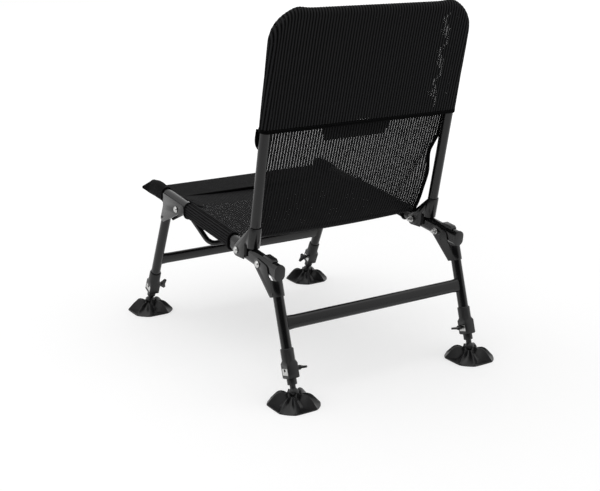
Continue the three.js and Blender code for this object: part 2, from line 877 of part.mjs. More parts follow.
function makeSeatPanel() {
  const full = frameHalfWidth - railWidth / 2 - 2 * clothGap - clothThickness;
  const columns = 10;
  const shares = Array.from({ length: columns + 1 }, (_, i) => (2 * i) / columns - 1);
  const stations = [
    { at: frontHoodRear + clearance, half: seatCutHalf, dip: seatFrontDip },
    { at: seatCutRear - clearance, half: seatCutHalf, dip: 0 },
    { at: seatCutRear, half: full, dip: 0 },
    { at: 0, half: full, dip: 0 },
    { at: seatPanelRear, half: full, dip: 0 },
  ];
  const rows = stations.map(({ at, half, dip }) => ({
    normal: [0, 0, 1],
    points: shares.map((share) => [share * half, at, sagAt(share) - dip]),
  }));
  // The rear of the seat turns up into the back panel along a quarter of an ellipse.
  const [bottomRise, bottomHalf] = panelEdge[0];
  const meet = between(backrest, seat, [panelFront, bottomRise - clothGap]);
  const turnSteps = 6;
  for (let k = 1; k <= turnSteps; k += 1) {
    const angle = ((k / turnSteps) * Math.PI) / 2;
    const up = 1 - Math.cos(angle);
    const half = full + (bottomHalf - full) * (k / turnSteps);
    const lean = angle - (backrestLean - seatPitch) * up;
    const reach = meet[0] + clothThickness * Math.sin(angle) - seatPanelRear;
    rows.push({
      normal: [0, -Math.sin(lean), Math.cos(lean)],
      points: shares.map((share) => {
        const low = sagAt(share);
        return [share * half, seatPanelRear + reach * Math.sin(angle), low + (meet[1] - low) * up];
      }),
    });
  }
  return sheetBody(rows);
}

add(seatGroup, "seat_panel", makeSeatPanel(), cloth);

// The front hood covers the cross tube and the front ends of the rails.
function makeFrontHood() {
  const layer = clothGap + clothThickness;
  const railLayer = flatOval(railWidth + 2 * layer, railHeight + 2 * layer);
  const tubeOuter = tubeRadius + layer;
  const railEnd = railFrontEnd - layer;
  const flapTop = tubeOuter - frontTubeDrop;
  const flapHem = frontHoodRear - hemHeight;
  const flapHalf = frameHalfWidth - earOuter - clearance;
  const inside = frameHalfWidth - weldOverlap;
  const pieces = [
    prism(disc(tubeOuter), -inside, inside, "x").translate(0, frontTubeStation, -frontTubeDrop),
    box(-flapHalf, flapHalf, frontTubeStation, frontHoodRear, flapTop - clothThickness, flapTop),
    box(-flapHalf, flapHalf, flapHem, frontHoodRear, flapTop - clothThickness, flapTop + hemExtra),
  ];
  const spaces = [
    prism(disc(tubeRadius + clothGap), -frameHalfWidth, frameHalfWidth, "x").translate(
      0,
      frontTubeStation,
      -frontTubeDrop,
    ),
  ];
  sides.forEach(({ x }) => {
    const place = x * frameHalfWidth;
    pieces.push(prism(railLayer, railEnd, frontHoodRailEnd, "y", 6).translate(place, 0, 0));
    spaces.push(
      railSpace(railFrontEnd - clothGap, frontHoodRailEnd + overrun, clothGap).translate(place, 0, 0),
    );
    // the corner stands out as a flat point
    const outer = place + x * (railWidth / 2 + layer);
    const tip = [
      [outer - x * tubeRadius, railEnd + clothThickness],
      [outer + x * frontHoodTip, railEnd - frontHoodTip],
      [outer - x * clothThickness, railEnd + 2 * tubeRadius],
    ];
    pieces.push(prism(polygon(x > 0 ? tip : tip.reverse()), -clothThickness, clothThickness));
  });
  return cut(join(...pieces), ...spaces);
}

add(seatGroup, "seat_front_hood", makeFrontHood(), cloth);

// Legs
const innerLegRadius = tubeRadius - tubeWall - clearance;

function ringOf(half, depth, corner, up) {
  const points = [];
  const cornerSteps = 3;
  [
    [1, 1],
    [-1, 1],
    [-1, -1],
    [1, -1],
  ].forEach(([sx, sy], quarter) => {
    const centre = [sx * (half - corner), sy * (depth - corner)];
    const from = (quarter * Math.PI) / 2;
    arc(centre, corner, from, from + Math.PI / 2, cornerSteps).forEach(([x, y]) => points.push([x, y, up]));
  });
  return points;
}

function makeClamp() {
  const lip = clampChamfer / 2;
  const rings = [
    ringOf(clampHalfWidth - lip, clampHalfDepth - lip, clampChamfer, clampBottom),
    ringOf(clampHalfWidth, clampHalfDepth, clampChamfer, clampBottom + lip),
    ringOf(clampHalfWidth, clampHalfDepth, clampChamfer, clampBoxTop),
    ringOf(clampCollarRadius, clampCollarRadius, clampCollarRadius, clampShoulderTop),
    ringOf(clampCollarRadius, clampCollarRadius, clampCollarRadius, clampTop - lip),
    ringOf(clampCollarRadius - lip / 2, clampCollarRadius - lip / 2, clampCollarRadius - lip / 2, clampTop),
  ];
  const windows = sides.map(({ x }) => {
    const edge = [x * windowFloor, x * (clampHalfWidth + overrun)].sort((a, b) => a - b);
    return box(...edge, -windowHalfDepth, windowHalfDepth, windowBottom, windowTop);
  });
  const wide = prism(disc(tubeRadius + clearance), legTubeBottom - clearance, clampTop + overrun);
  const bore = prism(disc(innerLegRadius + clearance), clampBottom - overrun, legTubeBottom);
  const doors = sides.map(({ x }) => {
    const edge = [0, x * (clampHalfWidth + overrun)].sort((a, b) => a - b);
    const side = windowHalfDepth - clampChamfer;
    return box(...edge, -side, side, windowBottom + clearance, windowTop - clearance);
  });
  return cut(loft(rings), wide, bore, ...windows, ...doors);
}

function makeOuterLeg(length) {
  return prism(hollow(disc(tubeRadius), disc(tubeRadius - tubeWall)), legTubeBottom, length);
}

function makeInnerLeg() {
  const section = hollow(disc(innerLegRadius), disc(innerLegRadius - innerLegWall));
  return prism(section, clampBottom, innerLegTop);
}

function makeStem() {
  const plug = innerLegRadius - innerLegWall - clearance;
  const collarTop = clampBottom - clearance;
  const neckStart = Math.sqrt(ballRadius ** 2 - stemNeckRadius ** 2);
  const ballArc = arc([0, 0], ballRadius, -Math.PI / 2, Math.atan2(neckStart, stemNeckRadius), 9);
  const bevel = clearance * 3;
  const profile = [
    [0, -ballRadius],
    ...ballArc.slice(1),
    [stemNeckRadius, stemCollarBottom],
    [stemCollarRadius - bevel, stemCollarBottom],
    [stemCollarRadius, stemCollarBottom + bevel],
    [stemCollarRadius, collarTop],
    [plug, collarTop],
    [plug, collarTop + stemPlugLength],
    [0, collarTop + stemPlugLength],
  ];
  return lathe(profile, 16);
}

function makeNutPlate() {
  const depth = windowHalfDepth - clearance;
  const low = windowBottom + clearance;
  const high = windowTop - clearance;
  const from = windowFloor + clearance;
  const plate = box(from, from + nutPlateThickness - 2 * clearance, -depth, depth, low, high);
  return cut(plate, crossRod(screwRadius + clearance, 0, clampHalfWidth + overrun, [0, wingHeight]));
}

function makeWing(flat) {
  const start = innerLegRadius + clearance;
  const shaft = crossRod(screwRadius, start, wingHubStart + weldOverlap, [0, 0]);
  const hub = crossRod(wingHubRadius, wingHubStart, wingStart + wingHubRadius, [0, 0]);
  const shape = polygon([
    [wingHubStart + weldOverlap, -wingRootHalf],
    [wingStart, -wingRootHalf],
    [wingEnd - wingRootHalf, -wingTipHalf],
    [wingEnd, -wingTipHalf + wingRootHalf / 2],
    [wingEnd - wingRootHalf / 2, 0],
    [wingEnd, wingTipHalf - wingRootHalf / 2],
    [wingEnd - wingRootHalf, wingTipHalf],
    [wingStart, wingRootHalf],
    [wingHubStart + weldOverlap, wingRootHalf],
  ]);
  const wing = prism(shape, -wingThickness / 2, wingThickness / 2);
  const screw = join(shaft, hub, wing);
  return flat ? screw : screw.rotateX(Math.PI / 2);
}

// The crossbar between two legs, flared where it is welded to them.
function makeBar(height) {
  const end = frameHalfWidth - tubeRadius / 2;
  const flareFrom = frameHalfWidth - tubeRadius - barFlareLength;
  const at = (x, extra) => {
    const r = barThickness / 2;
    const straight = (barHeight + extra) / 2 - r;
    const upper = arc([0, straight], r, 0, Math.PI, 6);
    const lower = arc([0, -straight], r, Math.PI, 2 * Math.PI, 6);
    return [...upper, ...lower].map(([y, z]) => [x, y, z]);
  };
  const body = loft([at(-end, barFlare), at(-flareFrom, 0), at(flareFrom, 0), at(end, barFlare)]);
  const core = prism(
    flatOval(barThickness - 2 * barWall, barHeight - 2 * barWall),
    -end - overrun,
    end + overrun,
    "x",
  );
  const legs = sides.map(({ x }) =>
    prism(disc(tubeRadius + clearance), -barHeight, barHeight).translate(x * frameHalfWidth, 0, 0),
  );
  const outside = sides.map(({ x }) => {
    const edge = [x * frameHalfWidth, x * (frameHalfWidth + 2 * barHeight)].sort((a, b) => a - b);
    return box(...edge, -barHeight, barHeight, -barHeight, barHeight);
  });
  return cut(body, core, ...legs, ...outside).translate(0, 0, height);
}

// Mud foot: a low pad with four lugs on the diagonals, each with a scooped petal that rises to a
// split socket for the ball.
function footRing(lugRadius, flatShare, up) {
  const points = [];
  const lug = footLugHalfAngle;
  const step = Math.PI / 2;
  for (let quarter = 0; quarter < 4; quarter += 1) {
    const centre = Math.PI / 4 + quarter * step;
    [-lug, -lug / 2, 0, lug / 2, lug].forEach((turn) => {
      points.push([lugRadius * Math.cos(centre + turn), lugRadius * Math.sin(centre + turn), up]);
    });
    // two points on the flat between this lug and the next
    [1 / 3, 2 / 3].forEach((share) => {
      const from = [Math.cos(centre + lug), Math.sin(centre + lug)];
      const to = [Math.cos(centre + step - lug), Math.sin(centre + step - lug)];
      const x = from[0] + (to[0] - from[0]) * share;
      const y = from[1] + (to[1] - from[1]) * share;
      const scale = lugRadius * flatShare;
      points.push([x * scale, y * scale, up]);
    });
  }
  return points;
}

function makeFoot() {
  const bevel = footRimHeight / 4;
  const body = loft([
    footRing(footRadius - bevel, footFlatShare, 0),
    footRing(footRadius, footFlatShare, bevel),
    footRing(footRadius, footFlatShare, footRimHeight - bevel),
    footRing(footRadius - bevel, footFlatShare, footRimHeight),
    footRing(footShoulderRadius, 1, footShoulderHeight),
  ]);
  const socket = prism(disc(socketRadius), bevel, ballHeight + socketRise, "z", 8);
  const ball = new THREE.SphereGeometry(ballRadius + clearance, 16, 12).rotateX(Math.PI / 2);
  ball.translate(0, 0, ballHeight);
  const mouth = lathe(
    [
      [0, ballHeight],
      [ballRadius - clearance, ballHeight],
      [socketRadius - clearance * 2, ballHeight + socketRise + overrun],
      [0, ballHeight + socketRise + overrun],
    ],
    16,
  );
  const slotTop = ballHeight + socketRise + overrun;
  const slots = [0, 1].map((turn) => {
    const half = socketSlotWidth / 2;
    const slot = box(
      -socketRadius - overrun,
      socketRadius + overrun,
      -half,
      half,
      slotTop - overrun - socketSlotDepth,
      slotTop,
    );
    return slot.rotateZ((turn * Math.PI) / 2);
  });
  const petals = [];
  const scoops = [];
  for (let quarter = 0; quarter < 4; quarter += 1) {
    const turn = Math.PI / 4 + (quarter * Math.PI) / 2;
    petals.push(makePetal().rotateZ(turn));
    scoops.push(makeScoop().rotateZ(turn));
  }
  return cut(join(body, socket, ...petals), ...scoops, ball, mouth, ...slots);
}

// Between a value at the socket and one at the rim, for a distance from the foot's middle.
function alongPetal(radius, atSocket, atRim) {
  const share = (radius - footShoulderRadius) / (footRadius - footShoulderRadius);
  return atSocket + (atRim - atSocket) * share;
}

const ridgeHeight = (radius) => alongPetal(radius, petalTop, petalTip);
const ridgeHalf = (radius) => alongPetal(radius, petalHalfStart, petalHalfEnd);

function makePetal() {
  const low = footRimHeight / 4;
  const section = (radius) => {
    const top = ridgeHalf(radius) + ridgeWidth / 2;
    const high = ridgeHeight(radius);
    return [
      [radius, -top - petalSkirt, low],
      [radius, top + petalSkirt, low],
      [radius, top, high],
      [radius, -top, high],
    ];
  };
  return loft([section(footShoulderRadius - socketRadius), section(footRadius - ridgeWidth)]);
}

// The hollow between a petal's ridges, open at the rim.
function makeScoop() {
  const section = (radius, floor) => {
    const high = ridgeHeight(radius);
    const half = ridgeHalf(radius) - ridgeWidth / 2;
    const spread = (half * (high + overrun - floor)) / (high - floor);
    return [
      [radius, -spread, high + overrun],
      [radius, 0, floor],
      [radius, spread, high + overrun],
    ];
  };
  return loft([
    section(scoopStart, scoopStartFloor),
    section(scoopMiddle, scoopMiddleFloor),
    section(footRadius + overrun, scoopEndFloor),
  ]);
}

const legSets = [
  {
    name: "rear",
    frame: rearLeg,
    length: rearLegTop,
    bar: rearBarHeight,
    bracket: makeRearBracket,
    flatWing: true,
    footY: footHalfBase,
  },
  {
    name: "front",
    frame: frontLeg,
    length: frontLegTop,
    bar: frontBarHeight,
    bracket: makeFrontBracket,
    flatWing: false,
    footY: -footHalfBase,
  },
];

legSets.forEach(({ name, frame, length, bar, bracket, flatWing, footY }) => {
  const middle = frame.group();
  group.add(middle);
  add(middle, `${name}_crossbar`, makeBar(bar), painted);
  sides.forEach(({ name: side, x }) => {
    const legGroup = frame.group(x * frameHalfWidth);
    group.add(legGroup);
    const inward = x > 0 ? Math.PI : 0;
    const suffix = `${name}_${side}`;
    add(legGroup, `leg_${suffix}`, makeOuterLeg(length), painted);
    add(legGroup, `leg_bracket_${suffix}`, bracket(), painted);
    add(legGroup, `leg_clamp_${suffix}`, makeClamp(), plastic);
    add(legGroup, `clamp_nut_${suffix}`, makeNutPlate(), zinc).rotation.z = inward;
    const wing = add(legGroup, `wing_screw_${suffix}`, makeWing(flatWing), plastic);
    wing.position.z = wingHeight;
    wing.rotation.z = inward;
    add(legGroup, `inner_leg_${suffix}`, makeInnerLeg(), painted);
    add(legGroup, `ball_stem_${suffix}`, makeStem(), plastic);
    add(group, `mud_foot_${suffix}`, makeFoot(), plastic).position.set(x * frameHalfWidth, footY, 0);
  });
});

export default group;
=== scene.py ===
"""A low folding fishing chair, finished around its fixed frame.

Metres, +Z up. The sitter faces -Y, and +X is the sitter's left. A station runs along the seat rails
to the rear, from the middle of the feet. A rise runs up along the uprights or the legs.
"""

import json
import logging
import math
from collections.abc import Callable, Iterable, Sequence
from dataclasses import dataclass, field
from enum import Enum

import bmesh
import bpy
from mathutils import Matrix, Vector

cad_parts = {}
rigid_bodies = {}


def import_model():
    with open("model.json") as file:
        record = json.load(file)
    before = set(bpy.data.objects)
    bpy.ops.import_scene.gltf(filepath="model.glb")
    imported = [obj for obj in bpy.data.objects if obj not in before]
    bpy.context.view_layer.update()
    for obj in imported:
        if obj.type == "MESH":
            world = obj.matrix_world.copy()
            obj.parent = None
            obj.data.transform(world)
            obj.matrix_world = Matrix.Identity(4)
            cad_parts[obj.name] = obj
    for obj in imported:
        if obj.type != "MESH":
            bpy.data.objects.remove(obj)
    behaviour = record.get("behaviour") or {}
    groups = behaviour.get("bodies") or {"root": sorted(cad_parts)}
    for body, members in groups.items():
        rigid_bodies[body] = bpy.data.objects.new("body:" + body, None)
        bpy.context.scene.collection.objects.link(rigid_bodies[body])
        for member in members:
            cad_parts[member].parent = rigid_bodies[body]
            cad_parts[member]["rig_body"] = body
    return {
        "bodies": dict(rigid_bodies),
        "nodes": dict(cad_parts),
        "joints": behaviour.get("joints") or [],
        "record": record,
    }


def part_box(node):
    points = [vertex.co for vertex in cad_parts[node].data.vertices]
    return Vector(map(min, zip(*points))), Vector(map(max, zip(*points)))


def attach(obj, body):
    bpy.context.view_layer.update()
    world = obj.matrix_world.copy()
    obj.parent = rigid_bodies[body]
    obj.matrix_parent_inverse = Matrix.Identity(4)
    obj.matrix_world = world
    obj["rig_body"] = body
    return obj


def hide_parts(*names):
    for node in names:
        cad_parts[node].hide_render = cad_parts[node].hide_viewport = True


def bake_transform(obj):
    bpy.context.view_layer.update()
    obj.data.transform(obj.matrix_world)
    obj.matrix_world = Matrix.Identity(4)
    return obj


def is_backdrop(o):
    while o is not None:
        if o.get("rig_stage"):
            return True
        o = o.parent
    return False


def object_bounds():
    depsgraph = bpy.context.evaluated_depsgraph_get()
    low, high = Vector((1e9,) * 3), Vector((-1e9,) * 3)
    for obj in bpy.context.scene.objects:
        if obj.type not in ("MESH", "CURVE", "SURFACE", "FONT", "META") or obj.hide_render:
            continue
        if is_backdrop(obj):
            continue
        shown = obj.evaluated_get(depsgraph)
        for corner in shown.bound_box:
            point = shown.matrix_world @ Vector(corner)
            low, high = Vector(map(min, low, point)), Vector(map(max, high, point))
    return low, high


log = logging.getLogger("fishing_chair")

CLOTH_MAP = "cloth"  # the map that holds a fabric's own coordinates, in metres
MERGE_DISTANCE = 1e-5
SMOOTH_ANGLE = math.radians(38)
JOIN_ANGLE = math.radians(0.6)  # faces that meet at less are one face
EASE_ANGLE = math.radians(40)  # edges sharper than this are eased
EASE_STEPS = 2

Socket = bpy.types.NodeSocket
Number = float | Socket


class Side(Enum):
    """The two sides of the chair, as the sitter names them."""

    LEFT = 1
    RIGHT = -1

    @property
    def label(self) -> str:
        """The side's name in a piece's name."""
        return self.name.lower()


@dataclass(frozen=True)
class SideFrame:
    """A tilted side view: a point over the floor, and how far its up axis leans to the rear."""

    y: float
    z: float
    lean: float

    def place(self, x: float, along: float, up: float) -> Vector:
        """Gives the point of the room at a place of this frame.

        Args:
            x: Distance to the sitter's left of the middle.
            along: Distance to the rear, along the frame's own axis.
            up: Distance along the frame's up axis.

        Returns:
            The point, in metres.
        """
        c, s = math.cos(self.lean), math.sin(self.lean)
        return Vector((x, self.y + along * c + up * s, self.z - along * s + up * c))

    def read(self, point: Vector) -> tuple[float, float]:
        """Gives the place along and up in this frame of a point of the room.

        Args:
            point: The point, in metres.

        Returns:
            The distances along and up.
        """
        c, s = math.cos(self.lean), math.sin(self.lean)
        dy, dz = point.y - self.y, point.z - self.z
        return dy * c - dz * s, dy * s + dz * c

    def direction(self, along: float, up: float) -> Vector:
        """Gives a direction of this frame as one of the room."""
        return self.place(0, along, up) - self.place(0, 0, 0)


@dataclass(frozen=True)
class Layout:
    """The chair's main lines, which every sub-assembly is placed by."""

    half_width: float = 0.229
    foot_half_base: float = 0.326
    ball_height: float = 0.026
    seat: SideFrame = SideFrame(0.0, 0.2894, math.radians(6.17))
    backrest_station: float = 0.1702
    backrest_lean: float = math.radians(11.15)
    rear_leg_lean: float = math.radians(-17.4)
    front_leg_lean: float = math.radians(24)
    rail_width: float = 0.022
    rail_height: float = 0.0324
    cloth_thickness: float = 0.0004

    @property
    def backrest(self) -> SideFrame:
        """The frame of the uprights, which starts where they cross the rails' axis."""
        foot = self.seat.place(0, self.backrest_station, 0)
        return SideFrame(foot.y, foot.z, self.backrest_lean)

    @property
    def rear_leg(self) -> SideFrame:
        """The frame of the rear legs, which starts at the balls of their feet."""
        return SideFrame(self.foot_half_base, self.ball_height, self.rear_leg_lean)

    @property
    def front_leg(self) -> SideFrame:
        """The frame of the front legs, which starts at the balls of their feet."""
        return SideFrame(-self.foot_half_base, self.ball_height, self.front_leg_lean)


LAYOUT = Layout()


# Shader nodes
class Wiring:
    """Adds shader nodes to a tree and joins them."""

    def __init__(self, tree: bpy.types.NodeTree) -> None:
        """Starts on a tree.

        Args:
            tree: The node tree to add to.
        """
        self.tree = tree

    def add(self, kind: str, **settings: object) -> bpy.types.Node:
        """Adds a node.

        Args:
            kind: The node's type.
            **settings: Its own properties, by name.

        Returns:
            The node.
        """
        node = self.tree.nodes.new(kind)
        for name, value in settings.items():
            setattr(node, name, value)
        return node

    def feed(self, socket: Socket, value: object) -> None:
        """Joins a socket to another, or sets its value.

        Args:
            socket: The input.
            value: An output socket, or a plain value.
        """
        if isinstance(value, bpy.types.NodeSocket):
            self.tree.links.new(value, socket)
        else:
            socket.default_value = value

    def math(self, operation: str, *values: Number, clamp: bool = False) -> Socket:
        """Adds a sum of numbers.

        Args:
            operation: The Math node's operation.
            *values: Numbers or sockets.
            clamp: Whether the result is kept from 0 to 1.

        Returns:
            The result's socket.
        """
        node = self.add("ShaderNodeMath", operation=operation, use_clamp=clamp)
        for socket, value in zip(node.inputs, values):
            self.feed(socket, value)
        return node.outputs[0]

    def step(
        self, value: Number, low: Number, high: Number, start: float = 0.0, end: float = 1.0
    ) -> Socket:
        """Adds a smooth step from one level to another.

        Args:
            value: What is stepped.
            low: Where the step starts.
            high: Where it ends.
            start: The level before it.
            end: The level after it.

        Returns:
            The level's socket.
        """
        node = self.add("ShaderNodeMapRange", interpolation_type="SMOOTHSTEP")
        names = ("Value", "From Min", "From Max", "To Min", "To Max")
        for name, given in zip(names, (value, low, high, start, end)):
            self.feed(node.inputs[name], given)
        return node.outputs["Result"]

    def noise(self, vector: Socket, scale: float, detail: float = 3.0, rough: float = 0.55) -> Socket:
        """Adds a noise texture.

        Args:
            vector: Where it is read.
            scale: Its cells in a metre.
            detail: Its octaves.
            rough: How strong the finer octaves are.

        Returns:
            The noise's socket, from 0 to 1.
        """
        node = self.add("ShaderNodeTexNoise")
        self.feed(node.inputs["Vector"], vector)
        node.inputs["Scale"].default_value = scale
        node.inputs["Detail"].default_value = detail
        node.inputs["Roughness"].default_value = rough
        return node.outputs["Fac"]

    def mix(self, factor: Number, low: object, high: object) -> Socket:
        """Adds a mix of two colours.

        Args:
            factor: The second colour's share.
            low: The first colour.
            high: The second colour.

        Returns:
            The mixed colour's socket.
        """
        node = self.add("ShaderNodeMix", data_type="RGBA")
        self.feed(node.inputs["Factor"], factor)
        self.feed(node.inputs["A"], low)
        self.feed(node.inputs["B"], high)
        return node.outputs["Result"]

    def parts(self, vector: Socket) -> tuple[Socket, Socket, Socket]:
        """Splits a vector.

        Args:
            vector: The vector.

        Returns:
            Its three parts.
        """
        node = self.add("ShaderNodeSeparateXYZ")
        self.feed(node.inputs[0], vector)
        return tuple(node.outputs)

    def product(self, *values: Number) -> Socket:
        """Adds a product of two numbers or more.

        Args:
            *values: Numbers or sockets.

        Returns:
            The product's socket.
        """
        result = values[0]
        for value in values[1:]:
            result = self.math("MULTIPLY", result, value)
        return result

    def distance(self, value: Number, other: Number) -> Socket:
        """Adds how far apart two numbers are."""
        return self.math("ABSOLUTE", self.math("SUBTRACT", value, other))

    def seen(self, path: Sequence[Socket]) -> Socket:
        """Adds the mask of rays that show a surface: the camera's, and those that mirrors or glass turn.

        Args:
            path: The Light Path node's outputs.

        Returns:
            The mask's socket.
        """
        turned_rays = self.math("MAXIMUM", path["Is Glossy Ray"], path["Is Transmission Ray"])
        return self.math("MAXIMUM", path["Is Camera Ray"], turned_rays)

    def place(self, group: bpy.types.NodeTree, **values: object) -> bpy.types.Node:
        """Adds a node group with its own values.

        Args:
            group: The group's tree.
            **values: Values or sockets, by the input's name with an underscore for a space.

        Returns:
            The group's node.
        """
        node = self.add("ShaderNodeGroup", node_tree=group)
        for name, value in values.items():
            self.feed(node.inputs[name.replace("_", " ").title()], value)
        return node


def start_group(
    name: str, inputs: dict[str, str], outputs: dict[str, str]
) -> tuple[Wiring, Callable, Callable]:
    """Starts a shader node group.

    Args:
        name: The group's name.
        inputs: Each input's name and kind of socket.
        outputs: Each output's name and kind of socket.

    Returns:
        The group's wiring, a function that gives an input by name, and one that feeds an output.
    """
    tree = bpy.data.node_groups.new(name, "ShaderNodeTree")
    for title, kind in inputs.items():
        tree.interface.new_socket(title, in_out="INPUT", socket_type=f"NodeSocket{kind}")
    for title, kind in outputs.items():
        tree.interface.new_socket(title, in_out="OUTPUT", socket_type=f"NodeSocket{kind}")
    wiring = Wiring(tree)
    entry = wiring.add("NodeGroupInput")
    leave = wiring.add("NodeGroupOutput")

    def given(title: str) -> Socket:
        """Gives one of the group's inputs."""
        return entry.outputs[title]

    def put(title: str, value: Socket) -> None:
        """Feeds one of the group's outputs."""
        wiring.feed(leave.inputs[title], value)

    return wiring, given, put


@dataclass
class Effects:
    """The effects that more than one finish uses, each a node group that is built once."""

    edge_turn: tuple[float, float] = (0.995, 0.86)  # cosines where an edge starts and is all edge
    rubbed_scale: float = 260  # patches in a metre, as every scale here
    rubbed_step: tuple[float, float] = (0.42, 0.68)
    cloud_scale: float = 24
    dust_slope: tuple[float, float] = (0.55, 1.0)  # upward part of the normal where dust settles
    speck_scale: float = 640
    speck_step: tuple[float, float] = (0.5, 0.75)
    yarns_to_rib: float = 4.0
    twist_depth: float = 0.25
    painted_highlight_power: float = 3.5  # how narrow the painted highlight along a rib's crest is
    painted_yarn_shade: float = 0.45  # how far the gaps between the yarns are painted darker, a painted shade
    yarn_height: float = 0.5  # height of a yarn, as a share of a rib's
    crossing_depth: float = 0.4
    stitch_offset: float = 0.3  # from the tape's middle, as a share of its width
    stitch_edge: tuple[float, float] = (0.1, 0.04)
    stitch_gap: tuple[float, float] = (0.28, 0.36)

    def __post_init__(self) -> None:
        """Builds the groups."""
        self.wear = self.build_wear()
        self.mottle = self.build_mottle()
        self.weave = self.build_weave()
        self.tape = self.build_tape()

    def build_wear(self) -> bpy.types.NodeTree:
        """Builds the mask of rubbed edges: where the rounded surface turns away from the face.

        Returns:
            The group's tree.
        """
        wiring, given, put = start_group(
            "rubbed_edges", {"Vector": "Vector", "Radius": "Float", "Amount": "Float"}, {"Mask": "Float"}
        )
        bevel = wiring.add("ShaderNodeBevel", samples=4)
        wiring.feed(bevel.inputs["Radius"], given("Radius"))
        turn = wiring.add("ShaderNodeVectorMath", operation="DOT_PRODUCT")
        wiring.feed(turn.inputs[0], bevel.outputs["Normal"])
        wiring.feed(turn.inputs[1], wiring.add("ShaderNodeNewGeometry").outputs["Normal"])
        edge = wiring.step(turn.outputs["Value"], *self.edge_turn)
        patchy = wiring.step(wiring.noise(given("Vector"), self.rubbed_scale, 4), *self.rubbed_step)
        put("Mask", wiring.math("MULTIPLY", wiring.product(edge, patchy), given("Amount"), clamp=True))
        return wiring.tree

    def build_mottle(self) -> bpy.types.NodeTree:
        """Builds the slow variation of a surface: handling marks, fine grain and settled dust.

        Returns:
            The group's tree.
        """
        wiring, given, put = start_group(
            "handled_surface",
            {"Vector": "Vector", "Grain": "Float"},
            {"Cloud": "Float", "Grain": "Float", "Dust": "Float"},
        )
        put("Cloud", wiring.noise(given("Vector"), self.cloud_scale, 4))
        scaled = wiring.add("ShaderNodeVectorMath", operation="SCALE")
        wiring.feed(scaled.inputs[0], given("Vector"))
        wiring.feed(scaled.inputs["Scale"], given("Grain"))
        put("Grain", wiring.noise(scaled.outputs[0], 1.0, 2))
        upward = wiring.parts(wiring.add("ShaderNodeNewGeometry").outputs["Normal"])[2]
        settled = wiring.step(upward, *self.dust_slope)
        specks = wiring.step(wiring.noise(given("Vector"), self.speck_scale, 2), *self.speck_step)
        put("Dust", wiring.product(settled, specks))
        return wiring.tree

    def build_weave(self) -> bpy.types.NodeTree:
        """Builds the ribbed mesh: bundles of coated yarn, and open slots between them crossed by threads.

        Returns:
            The group's tree.
        """
        wiring, given, put = start_group(
            "ribbed_mesh",
            {
                "Vector": "Vector",
                "Rib Pitch": "Float",
                "Thread Pitch": "Float",
                "Slot Share": "Float",
                "Thread Share": "Float",
            },
            {"Cover": "Float", "Height": "Float", "PaintedLight": "Float"},
        )
        across, along, _ = wiring.parts(given("Vector"))
        rib = wiring.math("FRACT", wiring.math("DIVIDE", across, given("Rib Pitch")))
        off_crest = wiring.product(wiring.distance(rib, 0.5), 2.0)
        slot = wiring.math("GREATER_THAN", off_crest, wiring.math("SUBTRACT", 1.0, given("Slot Share")))
        row = wiring.math("DIVIDE", along, given("Thread Pitch"))
        off_thread = wiring.product(wiring.distance(wiring.math("FRACT", row), 0.5), 2.0)
        gap = wiring.math("GREATER_THAN", off_thread, given("Thread Share"))
        put("Cover", wiring.math("SUBTRACT", 1.0, wiring.product(slot, gap)))
        yarns = wiring.product(across, wiring.math("DIVIDE", self.yarns_to_rib, given("Rib Pitch")))
        round_yarn = wiring.math("ABSOLUTE", wiring.math("SINE", wiring.product(yarns, math.pi)))
        parity = wiring.math("MODULO", wiring.math("FLOOR", yarns), 2.0)
        phase = wiring.math("ADD", row, wiring.product(parity, 0.5))
        twist = wiring.math("SINE", wiring.product(phase, 2 * math.pi))
        twisted = wiring.math("MULTIPLY_ADD", twist, self.twist_depth, 1.0 - self.twist_depth)
        yarn = wiring.product(round_yarn, twisted)
        crest = wiring.math("SUBTRACT", 1.0, wiring.product(off_crest, off_crest))
        # Each rib's crest is painted lighter and the gaps between its yarns darker: a painted highlight and
        # painted shade, put out beside the real height.
        ridge = wiring.math("POWER", crest, self.painted_highlight_power)
        lit = wiring.math("MULTIPLY_ADD", yarn, self.painted_yarn_shade, 1.0 - self.painted_yarn_shade)
        put("PaintedLight", wiring.product(ridge, lit))
        height = wiring.math("ADD", crest, wiring.product(yarn, self.yarn_height))
        put("Height", wiring.product(height, wiring.math("SUBTRACT", 1.0, slot)))
        return wiring.tree

    def build_tape(self) -> bpy.types.NodeTree:
        """Builds the fine slanted rows of a woven tape, with two lines of stitches.

        Returns:
            The group's tree.
        """
        wiring, given, put = start_group(
            "woven_tape",
            {"Vector": "Vector", "Pitch": "Float", "Stitch": "Float", "Width": "Float"},
            {"Height": "Float", "Stitches": "Float"},
        )
        across, along, _ = wiring.parts(given("Vector"))
        rows = []
        for operation in ("ADD", "SUBTRACT"):
            slanted = wiring.math("DIVIDE", wiring.math(operation, across, along), given("Pitch"))
            rows.append(wiring.math("ABSOLUTE", wiring.math("SINE", wiring.product(slanted, math.pi))))
        crossed = wiring.math("MULTIPLY_ADD", rows[1], self.crossing_depth, 1.0 - self.crossing_depth)
        put("Height", wiring.product(rows[0], crossed))
        share = wiring.math("DIVIDE", across, given("Width"))
        near = wiring.distance(wiring.distance(share, 0.5), self.stitch_offset)
        line = wiring.step(near, *self.stitch_edge)
        dash = wiring.math("FRACT", wiring.math("DIVIDE", along, given("Stitch")))
        put("Stitches", wiring.product(line, wiring.step(dash, *self.stitch_gap)))
        return wiring.tree


